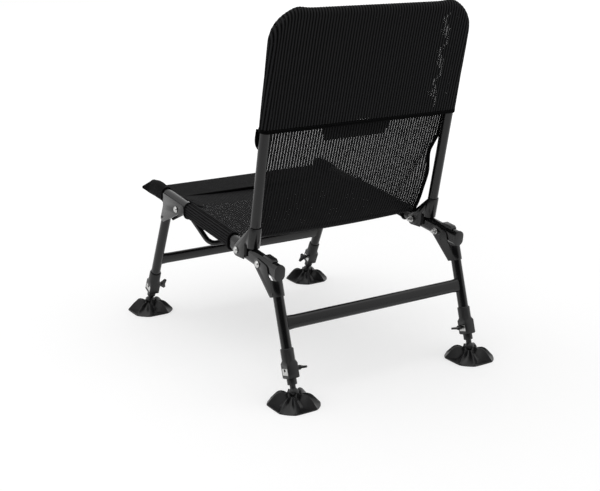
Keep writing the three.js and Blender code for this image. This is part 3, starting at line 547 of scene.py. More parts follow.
@dataclass(frozen=True)
class Finish:
    """A finish on a part: its name and the effects that it may use."""

    name: str
    effects: Effects

    def start(self) -> tuple[bpy.types.Material, Wiring, bpy.types.Node]:
        """Makes the material with its surface shader.

        Returns:
            The material, its wiring, and the Principled node.
        """
        material = bpy.data.materials.new(self.name)
        material.use_nodes = True
        wiring = Wiring(material.node_tree)
        shader = material.node_tree.nodes["Principled BSDF"]
        return material, wiring, shader

    def bump(self, wiring: Wiring, shader: bpy.types.Node, height: Socket, depth: float) -> None:
        """Feeds a height to the shader's normal.

        Args:
            wiring: The material's wiring.
            shader: The Principled node.
            height: The height, from 0 to 1.
            depth: What a height of 1 stands for, in metres.
        """
        node = wiring.add("ShaderNodeBump")
        node.inputs["Distance"].default_value = depth
        node.inputs["Strength"].default_value = 1.0
        wiring.feed(node.inputs["Height"], height)
        wiring.feed(shader.inputs["Normal"], node.outputs["Normal"])


@dataclass(frozen=True)
class SolidFinish(Finish):
    """A finish on a rigid part: a clouded colour with settled dust, rubbed edges and fine grain."""

    colour: tuple = (0.5, 0.5, 0.5, 1)
    cloud: float = 1.5  # brightness of the colour's other end, in times the colour's own
    grain: float = 1500.0  # cells in a metre
    grain_depth: float = 0.0001
    dust: float = 0.0
    dust_colour: tuple = (0.16, 0.155, 0.145, 1)
    rubbed: tuple | None = None
    rubbed_width: float = 0.0008
    rubbed_amount: float = 0.5
    smoothest: float = 0.3
    rough_span: float = 0.1
    rough_from: str = "Grain"
    gloss: float = 0.5
    metal: float = 0.0

    def build(self) -> bpy.types.Material:
        """Builds the material.

        Returns:
            The material.
        """
        material, wiring, shader = self.start()
        place = wiring.add("ShaderNodeTexCoord").outputs["Object"]
        surface = wiring.place(self.effects.mottle, vector=place, grain=self.grain).outputs
        clouded = tuple(self.cloud * c for c in self.colour[:3]) + (1,)
        base = wiring.mix(surface["Cloud"], self.colour, clouded)
        if self.dust:
            base = wiring.mix(wiring.product(surface["Dust"], self.dust), base, self.dust_colour)
        if self.rubbed:
            wear = wiring.place(
                self.effects.wear, vector=place, radius=self.rubbed_width, amount=self.rubbed_amount
            )
            base = wiring.mix(wear.outputs["Mask"], base, self.rubbed)
        wiring.feed(shader.inputs["Base Color"], base)
        rough = wiring.math("MULTIPLY_ADD", surface[self.rough_from], self.rough_span, self.smoothest)
        wiring.feed(shader.inputs["Roughness"], rough)
        shader.inputs["Specular IOR Level"].default_value = self.gloss
        shader.inputs["Metallic"].default_value = self.metal
        self.bump(wiring, shader, surface["Grain"], self.grain_depth)
        return material


@dataclass(frozen=True)
class PaintedSteel(SolidFinish):
    """Satin black powder coat over steel, rubbed a little lighter along its edges."""

    colour: tuple = (0.0026, 0.0026, 0.0028, 1)
    cloud: float = 1.7
    grain: float = 1400.0
    grain_depth: float = 0.00006
    dust: float = 0.035
    dust_colour: tuple = (0.18, 0.175, 0.165, 1)
    rubbed: tuple | None = (0.03, 0.03, 0.031, 1)
    rubbed_width: float = 0.0009
    rubbed_amount: float = 0.55
    smoothest: float = 0.13
    rough_span: float = 0.14
    rough_from: str = "Cloud"
    gloss: float = 0.4


@dataclass(frozen=True)
class PlatedZinc(SolidFinish):
    """Bright zinc plate on bolts, nuts and plates."""

    colour: tuple = (0.66, 0.66, 0.65, 1)
    cloud: float = 0.72
    grain: float = 2600.0
    grain_depth: float = 0.00003
    rubbed: tuple | None = (0.7, 0.7, 0.68, 1)
    rubbed_width: float = 0.0005
    rubbed_amount: float = 0.8
    smoothest: float = 0.2
    rough_span: float = 0.22
    metal: float = 0.95


@dataclass(frozen=True)
class MouldedPlastic(SolidFinish):
    """Black glass-filled plastic with a fine moulded grain."""

    colour: tuple = (0.0055, 0.0055, 0.0058, 1)
    cloud: float = 1.5
    grain: float = 1900.0
    grain_depth: float = 0.00008
    dust: float = 0.04
    rubbed: tuple | None = (0.03, 0.03, 0.03, 1)
    rubbed_amount: float = 0.35
    smoothest: float = 0.27
    rough_span: float = 0.18
    gloss: float = 0.4


@dataclass(frozen=True)
class SoftRubber(SolidFinish):
    """Dull black rubber."""

    colour: tuple = (0.0016, 0.0016, 0.0017, 1)
    cloud: float = 2.2
    dust: float = 0.05
    dust_colour: tuple = (0.14, 0.135, 0.13, 1)
    smoothest: float = 0.62
    rough_span: float = 0.12
    gloss: float = 0.12


@dataclass(frozen=True)
class RibbedMesh(Finish):
    """The see-through seat and back fabric: ribs of coated yarn with slots between them."""

    rib_pitch: float = 0.0067
    thread_pitch: float = 0.0012
    slot_share: float = 0.098
    thread_share: float = 0.1
    # colour is the painted shade between the yarns and beside the slots; crest is a painted highlight along
    # each rib's top
    colour: tuple = (0.0004, 0.0004, 0.0005, 1)
    crest: tuple = (0.027, 0.027, 0.0284, 1)
    grain: float = 2400.0
    dullest: float = 0.75  # brightness of the painted crest highlight at the grain's dark end
    brighter: float = 0.5
    smoothest: float = 0.68
    rough_span: float = 0.15
    gloss: float = 0.08
    depth: float = 0.0006

    def build(self) -> bpy.types.Material:
        """Builds the material.

        Returns:
            The material.
        """
        material, wiring, shader = self.start()
        cloth = wiring.add("ShaderNodeUVMap", uv_map=CLOTH_MAP).outputs["UV"]
        weave = wiring.place(
            self.effects.weave,
            vector=cloth,
            rib_pitch=self.rib_pitch,
            thread_pitch=self.thread_pitch,
            slot_share=self.slot_share,
            thread_share=self.thread_share,
        )
        surface = wiring.place(self.effects.mottle, vector=cloth, grain=self.grain)
        uneven = wiring.math("MULTIPLY_ADD", surface.outputs["Grain"], self.brighter, self.dullest)
        # The base colour runs from the painted shade to the painted highlight of the weave, uneven with the
        # grain.
        lit = wiring.math("MULTIPLY", weave.outputs["PaintedLight"], uneven, clamp=True)
        wiring.feed(shader.inputs["Base Color"], wiring.mix(lit, self.colour, self.crest))
        wiring.feed(shader.inputs["Alpha"], weave.outputs["Cover"])
        rough = wiring.math("MULTIPLY_ADD", surface.outputs["Cloud"], self.rough_span, self.smoothest)
        wiring.feed(shader.inputs["Roughness"], rough)
        shader.inputs["Specular IOR Level"].default_value = self.gloss
        self.bump(wiring, shader, weave.outputs["Height"], self.depth)
        return material


@dataclass(frozen=True)
class WovenTape(Finish):
    """Flat woven tape and hems, sewn with two rows of stitches."""

    width: float = 0.008
    pitch: float = 0.0009
    stitch: float = 0.0032
    grain: float = 2400.0
    colour: tuple = (0.0011, 0.0011, 0.0012, 1)
    lighter: float = 1.8  # brightness of the raised yarns, in times the colour's own: a painted highlight, with painted shade in the rows between
    stitch_colour: tuple = (0.009, 0.009, 0.0095, 1)
    stitch_cover: float = 0.8
    stitch_height: float = 1.5
    smoothest: float = 0.72
    rough_span: float = 0.1
    gloss: float = 0.03
    depth: float = 0.00025

    def build(self) -> bpy.types.Material:
        """Builds the material.

        Returns:
            The material.
        """
        material, wiring, shader = self.start()
        cloth = wiring.add("ShaderNodeUVMap", uv_map=CLOTH_MAP).outputs["UV"]
        tape = wiring.place(
            self.effects.tape, vector=cloth, pitch=self.pitch, stitch=self.stitch, width=self.width
        ).outputs
        surface = wiring.place(self.effects.mottle, vector=cloth, grain=self.grain).outputs
        # The raised yarns are painted lighter, unevenly with the grain: a painted highlight, with painted
        # shade in the rows between them.
        painted_highlight_colour = tuple(self.lighter * c for c in self.colour[:3]) + (1,)
        base = wiring.mix(wiring.product(tape["Height"], surface["Grain"]), self.colour, painted_highlight_colour)
        sewn = wiring.mix(wiring.product(tape["Stitches"], self.stitch_cover), base, self.stitch_colour)
        wiring.feed(shader.inputs["Base Color"], sewn)
        rough = wiring.math("MULTIPLY_ADD", surface["Cloud"], self.rough_span, self.smoothest)
        wiring.feed(shader.inputs["Roughness"], rough)
        shader.inputs["Specular IOR Level"].default_value = self.gloss
        height = wiring.math("MULTIPLY_ADD", tape["Stitches"], self.stitch_height, tape["Height"])
        self.bump(wiring, shader, height, self.depth)
        return material


class FinishName(Enum):
    """The finishes on this chair, with the record's slot for each."""

    PAINT = "paint"
    ZINC = "zinc"
    PLASTIC = "plastic"
    MESH = "mesh_cloth"
    TAPE = "patch_cloth"
    SMOOTH = "smooth_cloth"
    RUBBER = "rubber"

    @property
    def slot(self) -> str:
        """The record's slot."""
        shared = {FinishName.SMOOTH: FinishName.MESH, FinishName.RUBBER: FinishName.PLASTIC}
        return shared.get(self, self).value


class Palette:
    """All finishes, each built once."""

    def __init__(self) -> None:
        """Builds the finishes."""
        effects = Effects()
        seat_black = (0.0045, 0.0045, 0.0048, 1)
        self.finishes: dict[FinishName, bpy.types.Material] = {
            FinishName.PAINT: PaintedSteel("satin_black_paint", effects).build(),
            FinishName.ZINC: PlatedZinc("zinc_plate", effects).build(),
            FinishName.PLASTIC: MouldedPlastic("black_moulded_plastic", effects).build(),
            FinishName.MESH: RibbedMesh("ribbed_mesh_cloth", effects).build(),
            FinishName.TAPE: WovenTape("black_woven_tape", effects).build(),
            FinishName.RUBBER: SoftRubber("dull_black_rubber", effects).build(),
            FinishName.SMOOTH: WovenTape(
                "smooth_seat_cloth", effects, colour=seat_black, gloss=0.08
            ).build(),
        }

    def coat(self, piece: bpy.types.Object, finish: FinishName) -> None:
        """Gives a piece its finish.

        Args:
            piece: The piece.
            finish: Which finish.
        """
        piece.data.materials.clear()
        piece.data.materials.append(self.finishes[finish])


# Meshes
Grid = list[list[Vector]]
Coords = list[list[tuple[float, float]]]


def new_piece(name: str, mesh: bpy.types.Mesh) -> bpy.types.Object:
    """Adds an object to the scene.

    Args:
        name: The piece's name.
        mesh: Its mesh.

    Returns:
        The object.
    """
    piece = bpy.data.objects.new(name, mesh)
    bpy.context.scene.collection.objects.link(piece)
    return piece


def smooth(mesh: bpy.types.Mesh, angle: float = SMOOTH_ANGLE) -> None:
    """Shades a mesh smooth, apart from its sharp edges.

    Args:
        mesh: The mesh.
        angle: Edges that turn more than this stay sharp.
    """
    mesh.polygons.foreach_set("use_smooth", [True] * len(mesh.polygons))
    mesh.set_sharp_from_angle(angle=angle)


def applied(piece: bpy.types.Object) -> bpy.types.Object:
    """Turns a piece's modifiers into mesh.

    Args:
        piece: The piece.

    Returns:
        The same piece.
    """
    bpy.context.view_layer.update()
    seen = piece.evaluated_get(bpy.context.evaluated_depsgraph_get())
    mesh = bpy.data.meshes.new_from_object(seen)
    piece.modifiers.clear()
    old, piece.data = piece.data, mesh
    bpy.data.meshes.remove(old)
    return piece


def from_grid(
    name: str, points: Grid, coords: Coords | None = None, closed: bool = False, caps: bool = False
) -> bpy.types.Object:
    """Makes a surface through rows of points.

    Args:
        name: The piece's name.
        points: The rows, all with the same number of points.
        coords: The cloth coordinates of each point, with one more in each row where it is closed.
        closed: Whether each row is a ring.
        caps: Whether the first and last ring are closed with a face.

    Returns:
        The piece, with its doubled points merged.
    """
    rows, columns = len(points), len(points[0])
    spans = columns if closed else columns - 1
    faces = []
    for r in range(rows - 1):
        here, beyond = r * columns, (r + 1) * columns
        for c in range(spans):
            after = (c + 1) % columns
            faces.append((here + c, here + after, beyond + after, beyond + c))
    mesh = bpy.data.meshes.new(name)
    mesh.from_pydata([tuple(p) for row in points for p in row], [], faces)
    layer = mesh.uv_layers.new(name=CLOTH_MAP)
    if coords:
        for index in range(len(faces)):
            r, c = divmod(index, spans)
            corners = ((r, c), (r, c + 1), (r + 1, c + 1), (r + 1, c))
            for corner, (i, j) in enumerate(corners):
                layer.data[4 * index + corner].uv = coords[i][j]
    work = bmesh.new()
    work.from_mesh(mesh)
    if caps:
        work.verts.ensure_lookup_table()
        work.faces.new([work.verts[c] for c in range(columns)])
        work.faces.new([work.verts[(rows - 1) * columns + c] for c in reversed(range(columns))])
    bmesh.ops.remove_doubles(work, verts=work.verts, dist=MERGE_DISTANCE)
    bmesh.ops.recalc_face_normals(work, faces=work.faces)
    work.to_mesh(mesh)
    work.free()
    return new_piece(name, mesh)


def thickened(piece: bpy.types.Object, thickness: float) -> bpy.types.Object:
    """Gives a surface a thickness, half to each side, with a rim.

    Args:
        piece: The piece.
        thickness: Its thickness.

    Returns:
        The same piece.
    """
    solid = piece.modifiers.new("thickness", "SOLIDIFY")
    solid.thickness = thickness
    solid.offset = 0
    applied(piece)
    smooth(piece.data)
    return piece


def round_section(radius: float, count: int = 32) -> list[tuple[float, float]]:
    """Gives the points of a circle."""
    turns = [2 * math.pi * i / count for i in range(count)]
    return [(radius * math.cos(a), radius * math.sin(a)) for a in turns]


def oval_section(width: float, height: float, bend: int = 12, flat: int = 2) -> list[tuple[float, float]]:
    """Gives the points of a flat oval that stands on its round end.

    Args:
        width: Its width, twice its end radius.
        height: Its height.
        bend: Steps on each round end.
        flat: Steps on each flat side.

    Returns:
        The points, anticlockwise from the right end of the top bend.
    """
    radius, straight = width / 2, height / 2 - width / 2
    turns = [math.pi * i / bend for i in range(bend + 1)]
    top = [(radius * math.cos(a), straight + radius * math.sin(a)) for a in turns]
    left = [(-radius, straight - 2 * straight * i / flat) for i in range(1, flat)]
    return top + left + [(-x, -y) for x, y in top + left]


def rounded(
    name: str, rings: Grid, coords: Coords | None = None, caps: bool = False, angle: float = SMOOTH_ANGLE
) -> bpy.types.Object:
    """Makes a piece of closed rings, shaded smooth.

    Args:
        name: The piece's name.
        rings: Its rings of points.
        coords: Their cloth coordinates, if it has any.
        caps: Whether the first and last rings are filled.
        angle: The sharpest angle that is shaded smooth.

    Returns:
        The piece.
    """
    piece = from_grid(name, rings, coords, closed=True, caps=caps)
    smooth(piece.data, angle)
    return piece


def turned(
    name: str, profile: Sequence[tuple[float, float]], base: Vector, axis: Vector, count: int = 32
) -> bpy.types.Object:
    """Makes a round body from a profile.

    Args:
        name: The piece's name.
        profile: Radius and height of each point, starting and ending on the axis.
        base: Where height 0 is.
        axis: The direction of the axis.
        count: Points around.

    Returns:
        The piece.
    """
    turn = axis.to_track_quat("Z", "Y")
    rings = [[base + turn @ Vector((x, y, h)) for x, y in round_section(r, count)] for r, h in profile]
    return rounded(name, rings)


@dataclass
class Workshop:
    """What every sub-assembly is built with: the frame, the finishes and the pieces made so far."""

    frame: dict
    palette: Palette
    made: list[bpy.types.Object] = field(default_factory=list)

    def fit(
        self, piece: bpy.types.Object, finish: FinishName, body: str | None, *nodes: str
    ) -> bpy.types.Object:
        """Finishes a piece and hangs it on the frame.

        Args:
            piece: The piece.
            finish: Its finish.
            body: The body that it rides on, or None to leave it on no body.
            *nodes: The frame's nodes that it stands for.

        Returns:
            The piece.
        """
        self.palette.coat(piece, finish)
        if body:
            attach(piece, body)
        if nodes:
            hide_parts(*nodes)
        self.made.append(piece)
        log.info("%s: %d faces, %s", piece.name, len(piece.data.polygons), finish.value)
        return piece

    def eased(self, node: str, finish: FinishName, ease: float = 0.0) -> bpy.types.Object:
        """Makes a finished piece of a node of the frame, with its faces joined and its edges eased.

        Args:
            node: The node's name.
            finish: The piece's finish.
            ease: How wide the eased edges are, or 0 to leave them sharp.

        Returns:
            The piece.
        """
        source = self.frame["nodes"][node]
        work = bmesh.new()
        work.from_mesh(source.data)
        bmesh.ops.remove_doubles(work, verts=work.verts, dist=MERGE_DISTANCE)
        bmesh.ops.dissolve_limit(work, angle_limit=JOIN_ANGLE, verts=work.verts, edges=work.edges)
        mesh = bpy.data.meshes.new(node)
        work.to_mesh(mesh)
        work.free()
        piece = new_piece(f"{node}_finished", mesh)
        if ease:
            bevel = piece.modifiers.new("eased edges", "BEVEL")
            bevel.width = ease
            bevel.segments = EASE_STEPS
            bevel.limit_method = "ANGLE"
            bevel.angle_limit = EASE_ANGLE
            bevel.harden_normals = False
            applied(piece)
        smooth(piece.data)
        return self.fit(piece, finish, source["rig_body"], node)


@dataclass
class RibbedCloth:
    """The ribs that run along the fabric."""

    pitch: float = 0.0067
    height: float = 0.0007
    steps: int = 4

    def columns(self, half: float) -> list[float]:
        """Gives the places across the cloth where it has a column of points.

        Args:
            half: Half the width to cover.

        Returns:
            The places, from one edge to the other.
        """
        step = self.pitch / self.steps
        count = math.ceil(half / step)
        return [i * step for i in range(-count, count + 1)]

    def crest(self, across: float) -> float:
        """Gives how high the ribs stand at a place across the cloth."""
        return self.height * (0.5 - 0.5 * math.cos(2 * math.pi * across / self.pitch))


def eased_between(table: Sequence[tuple[float, float]], at: float) -> float:
    """Reads a table of values with a smooth curve through them.

    Args:
        table: Pairs of place and value, in order of place.
        at: The place.

    Returns:
        The value there.
    """
    if at <= table[0][0]:
        return table[0][1]
    if at >= table[-1][0]:
        return table[-1][1]
    k = next(i for i in range(1, len(table)) if at <= table[i][0])
    (x0, y0), (x1, y1) = table[k - 1], table[k]
    before = table[max(k - 2, 0)]
    after = table[min(k + 1, len(table) - 1)]
    slope0 = (y1 - before[1]) / (x1 - before[0])
    slope1 = (after[1] - y0) / (after[0] - x0)
    t, span = (at - x0) / (x1 - x0), x1 - x0
    return (
        (2 * t**3 - 3 * t**2 + 1) * y0
        + (t**3 - 2 * t**2 + t) * span * slope0
        + (3 * t**2 - 2 * t**3) * y1
        + (t**3 - t**2) * span * slope1
    )


@dataclass
class ClothRow:
    """One row across the seat and back fabric: how far it reaches each way and where its points lie."""

    left: float
    right: float
    at: Callable[[float], Vector]
    length: float = 0.0

    def edge(self, side: int) -> float:
        """Gives the place x of the edge on a side, 1 for the sitter's left."""
        return self.left if side > 0 else -self.right


@dataclass(frozen=True)
class Crease:
    """A fold in the cloth, along a line of places across and up it."""

    line: tuple[tuple[float, float], ...]
    width: float
    depth: float
    fade: tuple[float, float] = (0.1, 0.8)  # start and span of the line on the half wave of its depth

    def at(self, across: float, up: float) -> float:
        """Gives how far the cloth is pushed to the front at a place.

        Args:
            across: The place across.
            up: The place up.

        Returns:
            The push, in metres.
        """
        best, share = 1e9, 0.0
        spans = len(self.line) - 1
        for k, ((x0, y0), (x1, y1)) in enumerate(zip(self.line, self.line[1:])):
            dx, dy = x1 - x0, y1 - y0
            t = max(0.0, min(1.0, ((across - x0) * dx + (up - y0) * dy) / (dx * dx + dy * dy)))
            near = math.hypot(across - x0 - t * dx, up - y0 - t * dy)
            if near < best:
                best, share = near, (k + t) / spans
        start, span = self.fade
        strength = math.sin(math.pi * min(1.0, max(0.0, start + span * share)))
        return self.depth * math.exp(-((best / self.width) ** 2)) * strength


@dataclass
class SeatAndBack:
    """The one sheet of mesh that hangs from the hood, turns at the rails and runs to the seat's front."""

    shop: Workshop
    ribs: RibbedCloth = field(default_factory=RibbedCloth)
    panel_along: float = -0.0124
    panel_top: float = 0.268
    right_edge: Sequence[tuple[float, float]] = (
        (0.0243, 0.2145),
        (0.0367, 0.2139),
        (0.0767, 0.2149),
        (0.1176, 0.2192),
        (0.1460, 0.2151),
        (0.1672, 0.2128),
        (0.1894, 0.2201),
        (0.2116, 0.2285),
        (0.2530, 0.2340),
    )
    left_edge: Sequence[tuple[float, float]] = (
        (0.0243, 0.2145),
        (0.0367, 0.2139),
        (0.0767, 0.2149),
        (0.1176, 0.2185),
        (0.1500, 0.2150),
        (0.1850, 0.2150),
        (0.2205, 0.2288),
        (0.2310, 0.2374),
        (0.2460, 0.2418),
        (0.2680, 0.2412),
    )
    # how far forward the back hangs at a rise, where it turns into the seat
    forward: Sequence[tuple[float, float]] = (
        (0.0243, 0.0210),
        (0.0367, 0.0162),
        (0.0560, 0.0112),
        (0.0767, 0.0080),
        (0.1176, 0.0052),
        (0.1672, 0.0030),
        (0.2530, 0.0),
    )
    skew: float = 0.05  # how far the back's ribs run to the sitter's left for each metre down
    back_reach: float = 0.09  # rows less far before the top row than this are the back's
    back_steps: int = 60
    turn_steps: int = 14
    seat_steps: int = 24
    front_steps: int = 12
    first_step: float = 0.004  # between the first rows on the seat
    cut_step: float = 0.0005  # over which the seat narrows at its notch
    binding_start: float = 0.002  # how far before the turn's foot the side bindings end
    binding_probe: float = 0.004  # how far in from the edge the cloth's direction is read
    knot_inset: float = 0.0066
    knot_rise: float = 0.0085
    knot: tuple = ((0.0, -0.0022), (0.0034, -0.0016), (0.0046, 0.0), (0.0034, 0.0020), (0.0, 0.0026))
    hem_round: float = 0.09  # share of the side hem over which its rear end widens
    hem_start: float = 0.12
    hem_thickness: float = 0.0026
    hem_narrowest: float = 0.0028
    hem_rise: float = 0.0018
    patch_stand: float = 0.0019
    patch_thickness: float = 0.0011
    creases: tuple[Crease, ...] = (
        Crease(
            ((-0.216, 0.205), (-0.209, 0.180), (-0.187, 0.140), (-0.156, 0.085), (-0.146, 0.060)),
            0.010,
            0.0017,
        ),
        Crease(((-0.205, 0.165), (-0.170, 0.105)), 0.022, 0.0018),
        Crease(((-0.008, 0.215), (0.0175, 0.170), (0.030, 0.140)), 0.008, 0.0009),
    )
    seat_rise: float = 0.011
    seat_sag: float = 0.008
    seat_half: float = 0.2152
    sleeve_half: float = 0.2275
    sleeve_rise: float = 0.0186
    seat_rear: float = 0.096
    notch_station: float = -0.107
    notch_half: float = 0.2135
    front_station: float = -0.198
    side_hem_middle: float = 0.2073
    side_hem_width: float = 0.0125
    side_hem_rear: float = -0.088
    front_dip: float = 0.008
    binding_width: float = 0.009
    binding_thickness: float = 0.0026
    patch_top: float = 0.259
    patch_height: float = 0.033
    patch_half_top: float = 0.089
    patch_half_bottom: float = 0.075

    def seat_level(self, share: float) -> float:
        """Gives how high the seat lies over the rail axis at a share of its half width."""
        return self.seat_rise - self.seat_sag * (1 - min(1.0, abs(share)) ** 2)

    def back_point(self, rise: float) -> Callable[[float], Vector]:
        """Gives where the back's points lie at a rise."""
        along = self.panel_along - eased_between(self.forward, rise)
        return lambda x: LAYOUT.backrest.place(x, along - sum(c.at(x, rise) for c in self.creases), rise)

    def turn_point(self, angle: float) -> Callable[[float], Vector]:
        """Gives where the points lie on the turn from the seat, at angle 0, up to the back.

        Args:
            angle: The turn, from 0 to a quarter.

        Returns:
            The place of each x.
        """
        bottom = self.right_edge[0][0]
        meet = LAYOUT.seat.read(LAYOUT.backrest.place(0, self.panel_along - self.forward[0][1], bottom))
        up = 1 - math.cos(angle)
        reach = (meet[0] - self.seat_rear) * math.sin(angle)

        def at(x: float) -> Vector:
            """Gives the place of one x."""
            low = self.seat_level(x / self.seat_half)
            return LAYOUT.seat.place(x, self.seat_rear + reach, low + (meet[1] - low) * up)

        return at

    def seat_point(self, station: float) -> Callable[[float], Vector]:
        """Gives where the seat's points lie at a station, with its edges running onto the sleeves.

        Args:
            station: How far along the seat.

        Returns:
            The place of each x.
        """
        cut = station < self.notch_station
        ahead = (self.notch_station - station) / (self.notch_station - self.front_station)
        dip = self.front_dip * max(0.0, ahead)
        half = self.notch_half if cut else self.seat_half

        def at(x: float) -> Vector:
            """Gives the place of one x.

            Args:
                x: The place across.

            Returns:
                The point, in metres.
            """
            rise = self.seat_level(x / half) - dip
            beyond = abs(x) - self.seat_half
            if beyond > 0:
                share = min(1.0, beyond / (self.sleeve_half - self.seat_half))
                rise += (self.sleeve_rise - self.seat_rise) * math.sin(share * math.pi / 2)
            return LAYOUT.seat.place(x, station, rise)

        return at

    def rows(self) -> list[ClothRow]:
        """Lists the sheet's rows from the hood down and forward.

        Returns:
            The rows, each with its distance from the first.
        """
        bottom = self.right_edge[0][0]
        rows = []
        for k in range(self.back_steps + 1):
            rise = self.panel_top + (bottom - self.panel_top) * k / self.back_steps
            left, right = eased_between(self.left_edge, rise), eased_between(self.right_edge, rise)
            rows.append(ClothRow(left, right, self.back_point(rise)))
        for k in range(1, self.turn_steps + 1):
            share = 1 - k / self.turn_steps
            half = self.seat_half + (self.right_edge[0][1] - self.seat_half) * share
            rows.append(ClothRow(half, half, self.turn_point(share * math.pi / 2)))
        stations = [self.seat_rear - self.first_step * k for k in range(1, 4)]
        count, last = self.seat_steps, stations[-1]
        stations += [last + (self.notch_station - last) * k / count for k in range(1, count + 1)]
        rows += [ClothRow(self.sleeve_half, self.sleeve_half, self.seat_point(s)) for s in stations]
        count, first = self.front_steps, self.notch_station - self.cut_step
        front = [first + (self.front_station - first) * k / count for k in range(count + 1)]
        rows += [ClothRow(self.notch_half, self.notch_half, self.seat_point(s)) for s in front]
        for before, row in zip(rows, rows[1:]):
            row.length = before.length + (row.at(0) - before.at(0)).length
        return rows

    def build(self) -> None:
        """Builds the sheet with its bindings and its patch."""
        rows = self.rows()
        rearmost = rows[0].at(0).y - self.back_reach
        drift = self.skew * next(row.length for row in reversed(rows) if row.at(0).y > rearmost)
        widest = max(max(row.left, row.right) for row in rows)
        columns = self.ribs.columns(widest + drift)
        points: Grid = []
        coords: Coords = []
        for index, row in enumerate(rows):
            before, after = rows[max(index - 1, 0)], rows[min(index + 1, len(rows) - 1)]
            along = (after.at(0) - before.at(0)).normalized()
            normal = along.cross(Vector((1, 0, 0)))
            shift = min(drift, self.skew * row.length)
            held = [max(-row.right, min(row.left, x + shift)) for x in columns]
            points.append([row.at(x) + normal * self.ribs.crest(x - shift) for x in held])
            coords.append([(x - shift, row.length) for x in held])
        sheet = thickened(from_grid("seat_and_back_mesh", points, coords), LAYOUT.cloth_thickness)
        self.shop.fit(sheet, FinishName.MESH, None, "seat_panel", "back_panel")
        self.blend(sheet)
        self.build_bindings(rows)
        self.build_patch()

    def blend(self, piece: bpy.types.Object) -> None:
        """Bakes a piece's place into its mesh.

        Args:
            piece: The piece.
        """
        start = LAYOUT.seat.place(0, self.seat_rear, 0)
        end = LAYOUT.backrest.place(0, self.panel_along, self.right_edge[1][0])
        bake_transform(piece)

    def build_bindings(self, rows: list[ClothRow]) -> None:
        """Builds the tape that binds the sheet's free side edges.

        Args:
            rows: The sheet's rows.
        """
        lowest = LAYOUT.seat.place(0, self.seat_rear, 0).y - self.binding_start
        back = [row for row in rows if row.at(0).y > lowest]
        for side in Side:
            strip = self.binding(f"back_binding_{side.label}", back, side.value)
            self.shop.fit(strip, FinishName.TAPE, None)
            self.blend(strip)
            self.shop.fit(self.side_hem(side), FinishName.SMOOTH, "seat_frame")
            x = side.value * (self.side_hem_middle - self.knot_inset)
            end = LAYOUT.seat.place(x, self.side_hem_rear, self.knot_rise)
            name = f"seat_side_hem_end_{side.label}"
            knot = turned(name, self.knot, end, LAYOUT.seat.direction(0, 1))
            self.shop.fit(knot, FinishName.TAPE, "seat_frame")

    def side_hem(self, side: Side) -> bpy.types.Object:
        """Makes the smooth hem along one side of the front part of the seat, closed to a round rear end.

        Args:
            side: Which side.

        Returns:
            The piece.
        """
        steps, reach = 40, self.side_hem_rear - self.front_station
        rings: Grid = []
        coords: Coords = []
        for k in range(steps + 1):
            share = k / steps
            station = self.side_hem_rear - reach * share
            taper = math.sin(min(1.0, share / self.hem_round + self.hem_start) * math.pi / 2)
            width, middle = self.side_hem_width * taper, self.side_hem_middle
            section = oval_section(self.hem_thickness, max(self.hem_narrowest, width), bend=8, flat=4)
            at = self.seat_point(station)
            up = LAYOUT.seat.direction(0, 1)
            rings.append([at(side.value * (middle + b)) + up * (a + self.hem_rise) for a, b in section])
            coords.append([(b + self.side_hem_width / 2, station) for _, b in section + section[:1]])
        return rounded(f"seat_side_hem_{side.label}", rings, coords, caps=True)

    def binding(self, name: str, rows: list[ClothRow], side: int) -> bpy.types.Object:
        """Makes a tape folded around one edge of the sheet.

        Args:
            name: The piece's name.
            rows: The rows along the edge.
            side: 1 for the sitter's left, -1 for the right.

        Returns:
            The piece.
        """
        rings: Grid = []
        coords: Coords = []
        centre = [row.at(row.edge(side)) for row in rows]
        for index, row in enumerate(rows):
            ahead = (centre[min(index + 1, len(rows) - 1)] - centre[max(index - 1, 0)]).normalized()
            inward = (row.at(row.edge(side) - side * self.binding_probe) - centre[index]).normalized()
            normal = ahead.cross(inward).normalized()
            inward = normal.cross(ahead).normalized()
            section = oval_section(self.binding_thickness, self.binding_width, bend=8, flat=4)
            shift = self.binding_width / 2 - self.binding_thickness / 2
            rings.append([centre[index] + normal * a + inward * (b + shift) for a, b in section])
            coords.append([(b + self.binding_width / 2, row.length) for _, b in section + section[:1]])
        return rounded(name, rings, coords, caps=True)

    def build_patch(self) -> None:
        """Builds the plain dark patch that is sewn to the front of the back."""
        along = self.panel_along - self.patch_stand
        columns, rows = 24, 8
        points: Grid = []
        coords: Coords = []
        for r in range(rows + 1):
            share = r / rows
            rise = self.patch_top - self.patch_height * share
            half = self.patch_half_top + (self.patch_half_bottom - self.patch_half_top) * share
            line = [half * (2 * c / columns - 1) for c in range(columns + 1)]
            points.append([LAYOUT.backrest.place(x, along, rise) for x in line])
            coords.append([(x, rise) for x in line])
        patch = thickened(from_grid("back_patch_cloth", points, coords), self.patch_thickness)
        self.shop.fit(patch, FinishName.TAPE, "backrest", "back_patch")


